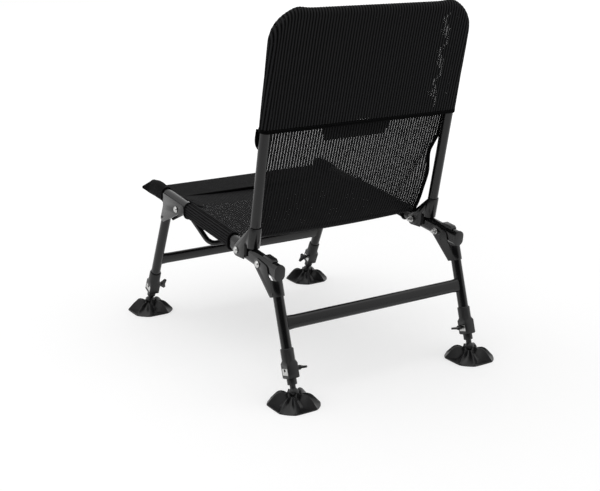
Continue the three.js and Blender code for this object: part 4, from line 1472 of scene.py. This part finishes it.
@dataclass
class Hood:
    """The double sleeve of mesh that is pulled over the top of the backrest tube."""

    shop: Workshop
    ribs: RibbedCloth = field(default_factory=RibbedCloth)
    top: float = 0.4933
    hem: float = 0.265
    bend: float = 0.05
    proud: float = 0.0124
    hem_height: float = 0.0085
    hem_thickness: float = 0.0022
    lean: float = 0.045  # how far its ribs run to the sitter's right for each metre up
    skew: float = 0.0032  # how far the front layer's ribs lie to the left of the rear layer's
    stray: float = 0.0004  # how far the front layer's ribs stray to each side
    puff: float = 0.003  # how far the corners stand off the tube's bends
    puff_start: float = 0.006  # the fullest place, past the start of the bend
    puff_width: float = 0.018
    hold: int = 8  # how late the shift of the front layer fades towards the sides
    # each wave of the front layer's ribs: turns up and across in a metre, start and height
    waves: tuple = ((92, 31, 0.0, 1.0), (187, -55, 1.3, 0.7))
    hem_stand: float = 0.0004

    def across(self, run: float) -> tuple[float, float]:
        """Gives where a run across the cloth lies, held at the middle of the tubes' outer sides.

        Args:
            run: The distance across the cloth from its middle.

        Returns:
            The place x, and the turn around the tube's side.
        """
        reach = min(abs(run), LAYOUT.half_width + self.proud * math.pi / 2)
        turn = max(0.0, reach - LAYOUT.half_width) / self.proud
        x = min(reach, LAYOUT.half_width) + self.proud * math.sin(turn)
        return math.copysign(x, run), turn

    def line(
        self, rib: float, steps: int = 26, over: int = 10
    ) -> tuple[list[Vector], list[tuple[float, float]]]:
        """Gives one rib's line from the hem at the rear, over the tube, to the hem in front.

        Args:
            rib: Its place across the cloth at the hem.
            steps: Points up each side.
            over: Points over the tube, on each side.

        Returns:
            The points, and their cloth coordinates.
        """
        centre_x, centre_r = LAYOUT.half_width - self.bend, self.top - self.bend

        def rise(x: float, theta: float) -> float:
            """Gives how high the cloth lies over the tube, or over its bend.

            Args:
                x: The place across.
                theta: The turn up from the tube's side.

            Returns:
                The rise.
            """
            past = abs(x) - centre_x
            fullness = math.exp(-(((past - self.puff_start) / self.puff_width) ** 2))
            stand = self.puff * fullness * math.sin(theta)
            reach = self.proud * math.sin(theta) + stand
            if past <= 0:
                return self.top + reach
            return centre_r + math.sqrt(max(0.0, (self.bend + reach) ** 2 - past**2))

        half = []
        for k in range(steps + over + 1):
            climb = (self.top - self.hem) * min(1.0, k / steps)
            x, turn = self.across(rib - self.lean * climb)
            foot = centre_r if turn > 0 else rise(x, 0.0)
            if k <= steps:
                half.append((x, turn, turn, self.hem + (foot - self.hem) * k / steps))
            else:
                theta = turn + (math.pi / 2 - turn) * (k - steps) / over
                half.append((x, turn, theta, rise(x, theta)))
        points, coords = [], []
        run = 0.0
        for face in (1, -1):
            ordered = half if face > 0 else list(reversed(half[:-1]))
            for x, turn, theta, level in ordered:
                beside = turn > 0
                held = max(0.0, 1 - (abs(x) / LAYOUT.half_width) ** self.hold)
                out = Vector((math.copysign(1, x) * math.sin(theta) if beside else 0.0, 0, 0))
                upward = 0 if beside else math.sin(theta)
                normal = out + LAYOUT.backrest.direction(face * math.cos(theta), upward)
                over_top = 0.5 - 0.5 * face * math.cos(theta)
                wander = sum(h * math.sin(level * u + x * a + start) for u, a, start, h in self.waves)
                shift = (self.skew + self.stray * wander) * over_top * held
                place = LAYOUT.backrest.place(x - shift, face * self.proud * math.cos(theta), level)
                point = place + normal.normalized() * self.ribs.crest(rib)
                if points:
                    run += (point - points[-1]).length
                points.append(point)
                coords.append((rib, run))
        return points, coords

    def build(self) -> None:
        """Builds the hood and its hem."""
        reach = LAYOUT.half_width + self.proud * math.pi / 2
        lines = [self.line(rib) for rib in self.ribs.columns(reach + self.lean * (self.top - self.hem))]
        surface = from_grid("backrest_hood_mesh", [p for p, _ in lines], [c for _, c in lines])
        hood = thickened(surface, LAYOUT.cloth_thickness)
        self.shop.fit(hood, FinishName.MESH, "backrest", "backrest_hood")
        self.build_hem()

    def build_hem(self) -> None:
        """Builds the smooth band around the hood's lower edge."""
        around: list[tuple[float, float, float, float]] = []
        half, depth = LAYOUT.half_width, self.proud + self.hem_stand
        steps, bend = 40, 10
        for k in range(steps + 1):
            around.append((-half + 2 * half * k / steps, depth, 0, 1))
        for k in range(1, bend):
            a = math.pi / 2 - math.pi * k / bend
            around.append((half + depth * math.cos(a), depth * math.sin(a), math.cos(a), math.sin(a)))
        for k in range(steps + 1):
            around.append((half - 2 * half * k / steps, -depth, 0, -1))
        for k in range(1, bend):
            a = -math.pi / 2 - math.pi * k / bend
            around.append((-half + depth * math.cos(a), depth * math.sin(a), math.cos(a), math.sin(a)))
        section = oval_section(self.hem_thickness, self.hem_height, bend=6, flat=4)
        rings: Grid = []
        coords: Coords = []
        run = 0.0
        for index, (x, along, out_x, out_along) in enumerate(around + around[:1]):
            centre = LAYOUT.backrest.place(x, along, self.hem + self.hem_height / 2)
            out = Vector((out_x, 0, 0)) + LAYOUT.backrest.direction(out_along, 0)
            up = LAYOUT.backrest.direction(0, 1)
            if index:
                run += (centre - last).length
            last = centre
            rings.append([centre + out * a + up * b for a, b in section])
            coords.append([(b + self.hem_height / 2, run) for _, b in section + section[:1]])
        band = rounded("backrest_hood_hem", rings, coords)
        self.shop.fit(band, FinishName.TAPE, "backrest")


@dataclass
class SeatSleeves:
    """The ribbed sleeves around the rails, with a rolled hem at each end."""

    shop: Workshop
    front: float = -0.1055
    rear: float = 0.090
    gap: float = 0.0004
    ring_radius: float = 0.0021
    ring_gap: float = 0.0008
    bead_steps: int = 64
    bead_cloth: float = 0.0016  # cloth along a bead from one ring of points to the next
    rib_count: int = 17
    rib_height: float = 0.0007

    def section(self, extra: float = 0.0, count: int = 0) -> list[tuple[float, float]]:
        """Gives the sleeve's section at even distances around it.

        Args:
            extra: How far it stands out from the rail, over its gap.
            count: The number of points, or 0 for four to a rib.

        Returns:
            The points, x and rise.
        """
        grow = self.gap + extra
        width, height = LAYOUT.rail_width + 2 * grow, LAYOUT.rail_height + 2 * grow
        radius, straight = width / 2, height - width
        girth = 2 * straight + 2 * math.pi * radius
        number = count or 4 * self.rib_count
        points = []
        for k in range(number):
            run = girth * k / number
            if run < math.pi * radius:
                a = run / radius
                points.append((radius * math.cos(a), straight / 2 + radius * math.sin(a)))
            elif run < math.pi * radius + straight:
                points.append((-radius, straight / 2 - (run - math.pi * radius)))
            elif run < 2 * math.pi * radius + straight:
                a = math.pi + (run - math.pi * radius - straight) / radius
                points.append((radius * math.cos(a), -straight / 2 + radius * math.sin(a)))
            else:
                points.append((radius, -straight / 2 + run - 2 * math.pi * radius - straight))
        return points

    def build(self) -> None:
        """Builds both sleeves and their rings."""
        half = LAYOUT.cloth_thickness / 2
        for side in Side:
            x = side.value * LAYOUT.half_width
            inner = self.section(0.0)
            outer = self.section(1.0)
            rows = 30
            points: Grid = []
            coords: Coords = []
            pitch = RibbedCloth().pitch
            for r in range(rows + 1):
                station = self.front + (self.rear - self.front) * r / rows
                ring = []
                for k, ((a, b), (c, d)) in enumerate(zip(inner, outer)):
                    crest = half + self.rib_height * (0.5 - 0.5 * math.cos(2 * math.pi * k / 4))
                    ring.append(LAYOUT.seat.place(x + a + (c - a) * crest, station, b + (d - b) * crest))
                points.append(ring)
                coords.append([(pitch * k / 4, station) for k in range(len(inner) + 1)])
            surface = from_grid(f"seat_sleeve_{side.label}_mesh", points, coords, closed=True)
            sleeve = thickened(surface, LAYOUT.cloth_thickness)
            self.shop.fit(sleeve, FinishName.MESH, "seat_frame", f"seat_sleeve_{side.label}")
            for name, station in (("front", self.front), ("rear", self.rear)):
                self.build_ring(f"sleeve_ring_{name}_{side.label}", x, station)

    def build_ring(self, name: str, x: float, station: float) -> None:
        """Builds the rolled hem at one end of a sleeve.

        Args:
            name: The piece's name.
            x: The rail's middle.
            station: Where the ring lies.
        """
        stand = self.ring_gap + self.ring_radius / 2
        piece = self.bead(name, (x, station), stand, self.ring_radius, 12, 0.5 * self.ring_radius)
        self.shop.fit(piece, FinishName.SMOOTH, "seat_frame")

    def bead(
        self, name: str, place: tuple[float, float], stand: float, radius: float, sides: int, pitch: float
    ) -> bpy.types.Object:
        """Makes a round cord around a rail.

        Args:
            name: The piece's name.
            place: The rail's middle x, and the cord's station.
            stand: How far its middle stands out from the rail, over the sleeve's gap.
            radius: The cord's radius.
            sides: Points around the cord.
            pitch: Cloth from one of those points to the next.

        Returns:
            The piece.
        """
        x, station = place
        line = self.section(stand, self.bead_steps)
        rings: Grid = []
        coords: Coords = []
        for index in range(len(line) + 1):
            a, b = line[index % len(line)]
            before, after = line[index - 1], line[(index + 1) % len(line)]
            out = Vector((after[1] - before[1], before[0] - after[0])).normalized()
            ring = []
            for c, s in round_section(radius, sides):
                ring.append(LAYOUT.seat.place(x + a + out.x * c, station + s, b + out.y * c))
            rings.append(ring)
            coords.append([(pitch * k, self.bead_cloth * index) for k in range(sides + 1)])
        return rounded(name, rings, coords)


@dataclass
class FrontHood:
    """The smooth fabric over the front cross tube and the front ends of the rails."""

    shop: Workshop
    tube_station: float = -0.2754
    tube_drop: float = 0.011
    proud: float = 0.0124
    rear: float = -0.192
    rail_end: float = -0.218
    # each ring: station, how much wider and taller than the rail, lift and shift outward
    corner_rings: tuple = (
        (rail_end, 0.0008, 0.0008, 0.0, 0.0),
        (-0.226, 0.0020, 0.0020, 0.0, 0.0),
        (-0.238, 0.0032, 0.0036, 0.0010, 0.0),
        (-0.252, 0.0044, 0.0048, 0.0015, 0.0),
        (-0.266, 0.0044, 0.0046, 0.0010, 0.0),
        (-0.2765, 0.0030, 0.0030, 0.0, 0.0010),
        (-0.2815, -0.0020, 0.0010, -0.0005, 0.0030),
        (-0.2860, -0.0090, -0.0050, -0.0012, 0.0075),
        (-0.2905, -0.0145, -0.0130, -0.0020, 0.0125),
        (-0.2950, -0.0180, -0.0215, -0.0028, 0.0175),
        (-0.2985, -0.0195, -0.0275, -0.0034, 0.0215),
    )
    corner_cloth: float = 0.002  # cloth around the corner from one point to the next
    piping_cloth: float = 0.001
    half: float = 0.2165
    piping: float = 0.0016
    piping_stand: float = 0.0012
    wrap: float = math.radians(291.6)  # how far the cover goes around the tube
    hem_cloth: float = 0.004  # brings the hem's stitches to its middle
    hem_inset: float = 0.003
    hem_drop: float = 0.001
    hem_thickness: float = 0.0038
    hem_width: float = 0.0062
    corner_gap: float = 0.001
    thinnest: float = 0.0016  # the sewn point at a corner's end
    lowest: float = 0.004

    def build(self) -> None:
        """Builds the cover over the tube, the two corners and their piping."""
        self.build_cover()
        for side in Side:
            self.build_corner(side)

    def build_cover(self) -> None:
        """Builds the sheet around the cross tube, with its flap to the rear."""
        centre = (self.tube_station, -self.tube_drop)
        top = self.proud - self.tube_drop
        section: list[tuple[float, float]] = []
        flat, bend = 10, 28
        for k in range(flat):
            section.append((self.rear + (self.tube_station - self.rear) * k / flat, top))
        for k in range(bend + 1):
            a = math.pi / 2 + self.wrap * k / bend
            section.append((centre[0] + self.proud * math.cos(a), centre[1] + self.proud * math.sin(a)))
        columns = 60
        points: Grid = []
        coords: Coords = []
        for c in range(columns + 1):
            x = self.half * (2 * c / columns - 1)
            run, row, uv = 0.0, [], []
            for k, (along, up) in enumerate(section):
                if k:
                    run += math.dist(section[k - 1], (along, up))
                row.append(LAYOUT.seat.place(x, along, up))
                uv.append((x, run))
            points.append(row)
            coords.append(uv)
        cover = thickened(from_grid("seat_front_cover", points, coords), LAYOUT.cloth_thickness)
        self.shop.fit(cover, FinishName.SMOOTH, "seat_frame", "seat_front_hood")
        hem = self.rear + self.hem_inset
        rings: Grid = []
        uvs: Coords = []
        for c in range(columns + 1):
            x = self.half * (2 * c / columns - 1)
            ring = oval_section(self.hem_thickness, self.hem_width, bend=6, flat=3)
            rings.append([LAYOUT.seat.place(x, hem + a, top - self.hem_drop + b) for a, b in ring])
            uvs.append([(b + self.hem_cloth, x) for _, b in ring + ring[:1]])
        band = rounded("seat_front_cover_hem", rings, uvs, caps=True)
        self.shop.fit(band, FinishName.TAPE, "seat_frame")

    def build_corner(self, side: Side) -> None:
        """Builds the fabric over the front end of one rail, with its flat sewn point.

        Args:
            side: Which rail.
        """
        x = side.value * LAYOUT.half_width
        grow = self.corner_gap
        rings: Grid = []
        coords: Coords = []
        for station, wider, taller, lift, shift in self.corner_rings:
            width = LAYOUT.rail_width + 2 * grow + wider
            height = LAYOUT.rail_height + 2 * grow + taller
            width, height = max(self.thinnest, width), max(self.lowest, height)
            section = oval_section(width, height, bend=22, flat=2)
            middle = x + side.value * shift
            rings.append([LAYOUT.seat.place(middle + a, station, b + lift) for a, b in section])
            coords.append([(self.corner_cloth * k, station) for k in range(len(section) + 1)])
        corner = rounded(f"seat_front_corner_{side.label}", rings, coords, caps=True)
        self.shop.fit(corner, FinishName.SMOOTH, "seat_frame")
        self.build_piping(side, x)

    def build_piping(self, side: Side, x: float) -> None:
        """Builds the piping around the rail where the corner ends.

        Args:
            side: Which rail.
            x: The rail's middle.
        """
        name = f"seat_front_piping_{side.label}"
        place, stand = (x, self.rail_end), self.piping_stand
        piece = SeatSleeves(self.shop).bead(name, place, stand, self.piping, 10, self.piping_cloth)
        self.shop.fit(piece, FinishName.TAPE, "seat_frame")


@dataclass
class Hardware:
    """The rigid parts that the frame's own shapes make: tubes, brackets, bolts and clamps."""

    shop: Workshop
    edge: float = 0.0006  # how far edges are eased
    small_edge: float = 0.0003

    def build(self) -> None:
        """Finishes every rigid node of the frame."""
        finishes: dict[str, tuple[FinishName, float]] = {
            "seat_rail": (FinishName.PAINT, 0.0),
            "front_cross_tube": (FinishName.PAINT, 0.0),
            "seat_brace": (FinishName.PAINT, 0.0),
            "backrest_tube": (FinishName.PAINT, 0.0),
            "backrest_bracket": (FinishName.PAINT, self.edge),
            "leg_bracket": (FinishName.PAINT, self.edge),
            "leg_clamp": (FinishName.PLASTIC, self.edge),
            "clamp_nut": (FinishName.ZINC, self.small_edge),
            "wing_screw": (FinishName.PLASTIC, self.edge),
            "inner_leg": (FinishName.PAINT, 0.0),
            "leg_": (FinishName.PAINT, 0.0),
            "ball_stem": (FinishName.PLASTIC, self.small_edge),
            "rail_end_cap": (FinishName.PLASTIC, self.edge),
            "rail_pad": (FinishName.PLASTIC, self.edge),
            "backrest_stop": (FinishName.RUBBER, self.edge),
            "backrest_bolt": (FinishName.ZINC, self.small_edge),
            "rear_leg_bolt": (FinishName.ZINC, self.small_edge),
            "front_leg_bolt": (FinishName.ZINC, self.small_edge),
            "rear_crossbar": (FinishName.PAINT, 0.0),
            "front_crossbar": (FinishName.PAINT, 0.0),
        }
        elsewhere = (
            "seat_panel",
            "back_panel",
            "back_patch",
            "backrest_hood",
            "seat_front_hood",
            "seat_sleeve",
            "mud_foot",
        )
        for node in sorted(self.shop.frame["nodes"]):
            if node.startswith(elsewhere):
                continue
            finish, ease = next(v for k, v in finishes.items() if node.startswith(k))
            self.shop.eased(node, finish, ease)


def between(value: float, table: Sequence[tuple[float, float]]) -> float:
    """Reads a value off a table of points, straight between them.

    Args:
        value: Where to read.
        table: The points, in rising order.

    Returns:
        The value there.
    """
    for (low, start), (high, end) in zip(table, table[1:]):
        if value <= high:
            return start + (end - start) * max(0.0, value - low) / (high - low)
    return table[-1][1]


@dataclass
class MudFeet:
    """The four feet: a split socket with four hollow petals that run out to the rim."""

    shop: Workshop
    radius: float = 0.054
    lug_half: float = math.radians(20)
    round_radius: float = 0.03
    bevel: float = 0.001
    socket: float = 0.0152
    socket_top: float = 0.029
    socket_lip: float = 0.0006
    ball_height: float = 0.026
    cavity: float = 0.0108
    mouth: float = 0.0102
    slot_half: float = 0.0013
    slot_floor: float = 0.0185
    bowl: tuple[float, ...] = (0.0005, 0.004, 0.0075, 0.0095)  # rings inside the socket
    rim_share: float = 0.6  # how high the rim's upper ring lies, as a share of the rim's height
    rim_foot: float = 0.0008
    closing: float = 0.0006  # the last ring, under the foot's middle
    smooth_angle: float = math.radians(32)
    eighth: float = math.pi / 4  # from a petal's middle to the slot beside it
    # heights of the petals' edges, hollows and the valleys beside them, against the distance from the
    # ball's axis
    ridge: tuple = (
        (0.0152, 0.0235), (0.02, 0.0255), (0.027, 0.0258), (0.033, 0.0240),
        (0.038, 0.0203), (0.043, 0.0150), (0.048, 0.0093), (0.054, 0.0030),
    )
    scoop: tuple = ((0.0152, 0.0225), (0.02, 0.0205), (0.036, 0.0112), (0.054, 0.0011))
    valley: tuple = (
        (0.0152, 0.0145), (0.022, 0.0105), (0.03, 0.0040),
        (0.046, 0.0016), (0.0505, 0.0034), (0.054, 0.0024),
    )
    # half a petal's width against the same distance
    spread: tuple = ((0.0152, 0.0028), (0.025, 0.0045), (0.036, 0.0085), (0.045, 0.0125), (0.054, 0.0165))
    # the socket's height against the share of the way to the slot
    posts: tuple = ((0.45, 0.0218), (0.72, 0.029), (1.0, 0.029))
    turn: float = math.radians(45)
    ridge_width: float = 0.0012
    steep: float = 1.75  # slope of the petals' outer sides
    # the hollow's profile: shares of the way to the petal's edge, and of its height
    hollow: tuple = ((0.0, 0.0), (0.5, 0.07), (0.8, 0.3))
    sine_limit: float = 0.69  # keeps a petal's side out of the next petal
    slot_shares: tuple = (0.5, 0.97, 1.0)
    post_shares: tuple = (0, 0.14, 0.28, 0.42, 0.56, 0.7, 0.84, 0.98)
    steps: tuple = (
        0.0153, 0.0168, 0.019, 0.0215, 0.024, 0.027, 0.0305, 0.0345, 0.039, 0.044, 0.0495, 0.0530,
    )

    def build(self) -> None:
        """Builds the four feet."""
        for node in sorted(self.shop.frame["nodes"]):
            if node.startswith("mud_foot"):
                self.build_foot(node)

    def columns(self, radius: float) -> list[tuple[float, float]]:
        """Gives the surface over half of one petal at a distance from the ball's axis.

        Args:
            radius: The distance.

        Returns:
            The angle from the petal's middle and the height, out to the slot.
        """
        half, high = between(radius, self.spread), between(radius, self.ridge)
        low, floor = between(radius, self.valley), between(radius, self.scoop)
        inner, outer = half - self.ridge_width / 2, half + self.ridge_width / 2
        foot = outer + max(0.0, high - low) / self.steep
        line = [(share * inner, floor + rise * (high - floor)) for share, rise in self.hollow]
        line += [(inner, high), (outer, high), (foot, low)]
        turns = [(math.asin(min(self.sine_limit, across / radius)), height) for across, height in line]
        gap = math.asin(self.slot_half / radius)
        last = turns[-1][0]
        turns += [(last + (self.eighth - gap - last) * share, low) for share in self.slot_shares]
        return turns + [(self.eighth, low)]

    def socket_ring(self, radius: float, height: float) -> list[tuple[float, float]]:
        """Gives one ring of the socket over half of one petal, dropped to the floor in the slot.

        Args:
            radius: Its distance from the ball's axis.
            height: Its height outside the slot.

        Returns:
            The angle from the petal's middle and the height.
        """
        gap = math.asin(min(0.5, self.slot_half / radius))
        deep, wide = min(height, self.slot_floor), self.eighth - gap
        even = [(wide * share, min(height, between(share, self.posts))) for share in self.post_shares]
        return even + [(wide, deep), (self.eighth, deep)]

    def ring(self, base: Vector, radius: float, half: list[tuple[float, float]]) -> list[Vector]:
        """Sets half a petal's points round all four petals.

        Args:
            base: The foot's middle on the floor.
            radius: The ring's radius.
            half: Angle and height of each point, from a petal's middle to the slot.

        Returns:
            The ring's points.
        """
        whole = [(-angle, height) for angle, height in reversed(half[1:-1])] + half
        outward = max(0.0, (radius - self.round_radius) / (self.radius - self.round_radius))
        flat = math.cos(self.eighth - self.lug_half)
        points = []
        for quarter in range(4):
            middle = self.turn + quarter * math.pi / 2
            for angle, height in whole:
                turn = middle + angle
                chord = min(1.0, flat / math.cos(self.eighth - abs(angle)))
                reach = radius * (1.0 - outward * (1.0 - chord))
                points.append(base + Vector((reach * math.cos(turn), reach * math.sin(turn), height)))
        return points

    def build_foot(self, node: str) -> None:
        """Builds one foot.

        Args:
            node: The frame's node that it stands for.
        """
        low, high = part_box(node)
        base = Vector(((low[0] + high[0]) / 2, (low[1] + high[1]) / 2, low[2]))
        rings = []
        for radius in self.bowl:
            depth = self.ball_height - math.sqrt(self.cavity**2 - radius**2)
            rings.append(self.ring(base, radius, self.socket_ring(radius, depth)))
        lip = self.socket - self.socket_lip
        walls = ((self.mouth, self.ball_height), (lip, self.socket_top), (self.socket, self.socket_top))
        for radius, height in walls:
            rings.append(self.ring(base, radius, self.socket_ring(radius, height)))
        for radius in self.steps:
            rings.append(self.ring(base, radius, self.columns(radius)))
        edge = self.columns(self.radius)
        rim = [(angle, self.rim_share * height) for angle, height in edge]
        rings.append(self.ring(base, self.radius, rim))
        rings.append(self.ring(base, self.radius, [(angle, self.rim_foot) for angle, _ in edge]))
        rings.append(self.ring(base, self.radius - self.bevel, [(angle, 0.0) for angle, _ in edge]))
        rings.append(self.ring(base, self.closing, [(angle, 0.0) for angle, _ in edge]))
        piece = rounded(f"{node}_finished", rings, caps=True, angle=self.smooth_angle)
        self.shop.fit(piece, FinishName.PLASTIC, self.shop.frame["nodes"][node]["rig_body"], node)


@dataclass
class LegTrim:
    """The rivets through the leg brackets and the guide plates in the clamps' outer windows."""

    shop: Workshop
    rivet_lift: float = 0.006
    rivet_radius: float = 0.0031
    rivet_height: float = 0.0013
    sunk: float = 0.0004

    def build(self) -> None:
        """Builds the trim of all four legs."""
        for name, leg in (("rear", LAYOUT.rear_leg), ("front", LAYOUT.front_leg)):
            for side in ("left", "right"):
                self.build_rivet(f"{name}_{side}", leg)
                self.build_plate(f"{name}_{side}")

    def build_rivet(self, leg: str, place: SideFrame) -> None:
        """Builds the rivet on the outer face of a leg's bracket.

        Args:
            leg: The leg's name.
            place: The leg's plane.
        """
        node = self.shop.frame["nodes"][f"leg_bracket_{leg}"]
        low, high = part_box(f"leg_bracket_{leg}")
        outward = 1 if low[0] + high[0] > 0 else -1
        face = high[0] if outward > 0 else low[0]
        radius, height = self.rivet_radius, self.rivet_height
        turns = [math.pi / 2 * k / 5 for k in range(6)]
        dome = [(radius * math.cos(a), height * math.sin(a)) for a in turns]
        profile = [(0.0, -self.sunk), (radius, -self.sunk)] + dome
        lowest = min((place.read(corner.co)[1] for corner in node.data.vertices))
        base = place.place(face, 0, lowest + self.rivet_lift)
        piece = turned(f"bracket_rivet_{leg}", profile, base, Vector((outward, 0, 0)), 24)
        self.shop.fit(piece, FinishName.PAINT, node["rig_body"])

    def build_plate(self, leg: str) -> None:
        """Builds the guide plate in a clamp's outer window, the nut plate's mirror image.

        Args:
            leg: The leg's name.
        """
        source = self.shop.frame["nodes"][f"clamp_nut_{leg}"]
        low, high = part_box(f"inner_leg_{leg}")
        middle = (low[0] + high[0]) / 2
        mesh = source.data.copy()
        mesh.transform(Matrix.Translation((2 * middle, 0, 0)) @ Matrix.Scale(-1, 4, (1, 0, 0)))
        mesh.flip_normals()
        piece = new_piece(f"clamp_guide_plate_{leg}", mesh)
        self.shop.fit(piece, FinishName.ZINC, source["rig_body"])


@dataclass(frozen=True)
class PhotoCamera:
    """The photograph's viewpoint, for its frame of 600 by 491."""

    place: tuple[float, float, float] = (1.3383, 2.0542, 0.9463)
    yaw: float = math.radians(147.0)
    pitch: float = math.radians(16.7)
    roll: float = math.radians(0.3)
    frame_width: float = 600.0
    focal: float = 1125.2
    sensor: float = 36.0

    def build(self) -> bpy.types.Object:
        """Adds the camera.

        Returns:
            The camera.
        """
        data = bpy.data.cameras.new("photo_camera")
        data.sensor_width = self.sensor
        data.lens = self.sensor * self.focal / self.frame_width
        data.clip_end = 60
        camera = bpy.data.objects.new("photo_camera", data)
        bpy.context.scene.collection.objects.link(camera)
        level = math.cos(self.pitch)
        back = Vector((math.sin(self.yaw) * level, -math.cos(self.yaw) * level, math.sin(self.pitch)))
        right = (-back).cross(Vector((0, 0, 1))).normalized()
        up = right.cross(-back)
        c, s = math.cos(self.roll), math.sin(self.roll)
        turned_right, turned_up = right * c + up * s, up * c - right * s
        basis = Matrix((turned_right, turned_up, back)).transposed().to_4x4()
        camera.matrix_world = Matrix.Translation(self.place) @ basis
        bpy.context.scene.camera = camera
        return camera


@dataclass
class Studio:
    """A plain pale floor under soft light."""

    floor_half: float = 9.0
    floor_colour: tuple = (0.54, 0.54, 0.54, 1)
    floor_roughness: float = 0.9
    floor_gloss: float = 0.1
    surround: float = 0.8
    key_power: float = 13.0
    near_lift: float = 0.5
    far_lift: float = 0.68
    near_reach: float = 0.9
    far_reach: float = 2.6
    dark_side: float = math.radians(57)  # where the unlit end of the room lies, from +X
    dark_level: float = 0.04
    dark_start: float = 1.3
    dark_end: float = 2.1
    dark_turn: tuple[float, float] = (0.25, 0.78)  # cosines from the dark side, where it starts and is full
    dark_height: tuple[float, float] = (0.75, 0.4)
    unlit_colour: tuple = (0.02, 0.02, 0.02, 1)
    lamp_aim: tuple[float, float, float] = (0, 0, 0.35)
    lamps: tuple = (("key_softbox", (1.5, -0.3, 2.5), 2.4, 1.0), ("fill_softbox", (-0.9, 1.2, 2.6), 2.2, 0.6))

    def build(self) -> None:
        """Builds the floor, the world and the lamps, and sets the view."""
        self.build_floor()
        self.build_world()
        for name, place, size, share in self.lamps:
            self.add_softbox(name, Vector(place), size, self.key_power * share)
        bpy.context.scene.view_settings.view_transform = "Standard"

    def build_floor(self) -> None:
        """Builds the floor, which the camera sees as white outside the shadow."""
        steps = 8
        line = [self.floor_half * (2 * k / steps - 1) for k in range(steps + 1)]
        floor = from_grid("floor", [[Vector((x, y, 0)) for x in line] for y in line])
        material = bpy.data.materials.new("pale_floor")
        material.use_nodes = True
        wiring = Wiring(material.node_tree)
        shader = material.node_tree.nodes["Principled BSDF"]
        shader.inputs["Roughness"].default_value = self.floor_roughness
        shader.inputs["Specular IOR Level"].default_value = self.floor_gloss
        shader.inputs["Emission Color"].default_value = (1, 1, 1, 1)
        path = wiring.add("ShaderNodeLightPath").outputs
        seen = wiring.seen(path)
        place = wiring.add("ShaderNodeTexCoord").outputs["Object"]
        reach = wiring.add("ShaderNodeVectorMath", operation="LENGTH")
        wiring.feed(reach.inputs[0], place)
        levels = (self.near_reach, self.far_reach, self.near_lift, self.far_lift)
        lift = wiring.step(reach.outputs["Value"], *levels)
        toward = self.toward_dark(wiring, place)
        # Seen in reflections, the floor toward the dark end of the room is painted near black and loses its
        # lift: a painted shade.
        unlit = wiring.product(wiring.step(toward, self.dark_start, self.dark_end), path["Is Glossy Ray"])
        bright = wiring.product(wiring.math("SUBTRACT", 1.0, unlit), lift)
        wiring.feed(shader.inputs["Emission Strength"], wiring.product(seen, bright))
        wiring.feed(shader.inputs["Base Color"], wiring.mix(unlit, self.floor_colour, self.unlit_colour))
        floor.data.materials.append(material)
        floor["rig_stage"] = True

    def toward_dark(self, wiring: Wiring, place: Socket) -> Socket:
        """Adds how far a place or direction lies toward the unlit end of the room.

        Args:
            wiring: The wiring to add to.
            place: The place or direction.

        Returns:
            The distance's socket.
        """
        across, ahead, _ = wiring.parts(place)
        return wiring.math(
            "ADD",
            wiring.math("MULTIPLY", across, math.cos(self.dark_side)),
            wiring.math("MULTIPLY", ahead, math.sin(self.dark_side)),
        )

    def build_world(self) -> None:
        """Builds the surround: white where it is seen, and softer where it lights."""
        world = bpy.data.worlds.new("studio")
        world.use_nodes = True
        bpy.context.scene.world = world
        wiring = Wiring(world.node_tree)
        lit = world.node_tree.nodes["Background"]
        lit.inputs["Color"].default_value = (1, 1, 1, 1)
        lit.inputs["Strength"].default_value = self.surround
        seen = wiring.add("ShaderNodeBackground")
        path = wiring.add("ShaderNodeLightPath").outputs
        direction = wiring.add("ShaderNodeTexCoord").outputs["Generated"]
        height = wiring.parts(direction)[2]
        # Seen in reflections, the surround is painted near black low down toward the dark end of the room: a
        # painted dark reflection.
        turned_away = wiring.step(self.toward_dark(wiring, direction), *self.dark_turn)
        unlit = wiring.product(turned_away, wiring.step(height, *self.dark_height))
        dim = wiring.product(unlit, path["Is Glossy Ray"], 1.0 - self.dark_level)
        wiring.feed(seen.inputs["Color"], wiring.mix(dim, (1, 1, 1, 1), (0, 0, 0, 1)))
        blend = wiring.add("ShaderNodeMixShader")
        wiring.feed(blend.inputs[0], wiring.seen(path))
        wiring.feed(blend.inputs[1], lit.outputs[0])
        wiring.feed(blend.inputs[2], seen.outputs[0])
        wiring.feed(world.node_tree.nodes["World Output"].inputs["Surface"], blend.outputs[0])

    def add_softbox(self, name: str, place: Vector, size: float, power: float) -> None:
        """Adds a square lamp that faces the chair.

        Args:
            name: The lamp's name.
            place: Where it stands.
            size: Its side.
            power: Its power in watts.
        """
        lamp = bpy.data.lights.new(name, "AREA")
        lamp.shape = "SQUARE"
        lamp.size = size
        lamp.energy = power
        holder = bpy.data.objects.new(name, lamp)
        holder.location = place
        holder.rotation_mode = "QUATERNION"
        holder.rotation_quaternion = (Vector(self.lamp_aim) - place).to_track_quat("-Z", "Y")
        bpy.context.scene.collection.objects.link(holder)


def corners(box: Iterable[Vector]) -> list[list[float]]:
    """Writes a box's corners as plain lists."""
    return [[float(value) for value in corner] for corner in box]


def main() -> None:
    """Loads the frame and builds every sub-assembly."""
    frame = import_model()
    frame_box = corners(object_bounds())
    PhotoCamera().build()
    Studio().build()
    shop = Workshop(frame, Palette())
    for kind in (Hardware, LegTrim, MudFeet, SeatSleeves, SeatAndBack, Hood, FrontHood):
        log.info("building %s", kind.__name__)
        kind(shop).build()
    log.info("%d pieces made", len(shop.made))
    {"frame": frame_box, "model": corners(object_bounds())}


if __name__ == "__main__":
    logging.basicConfig(level=logging.INFO, format="%(name)s: %(message)s")
    main()
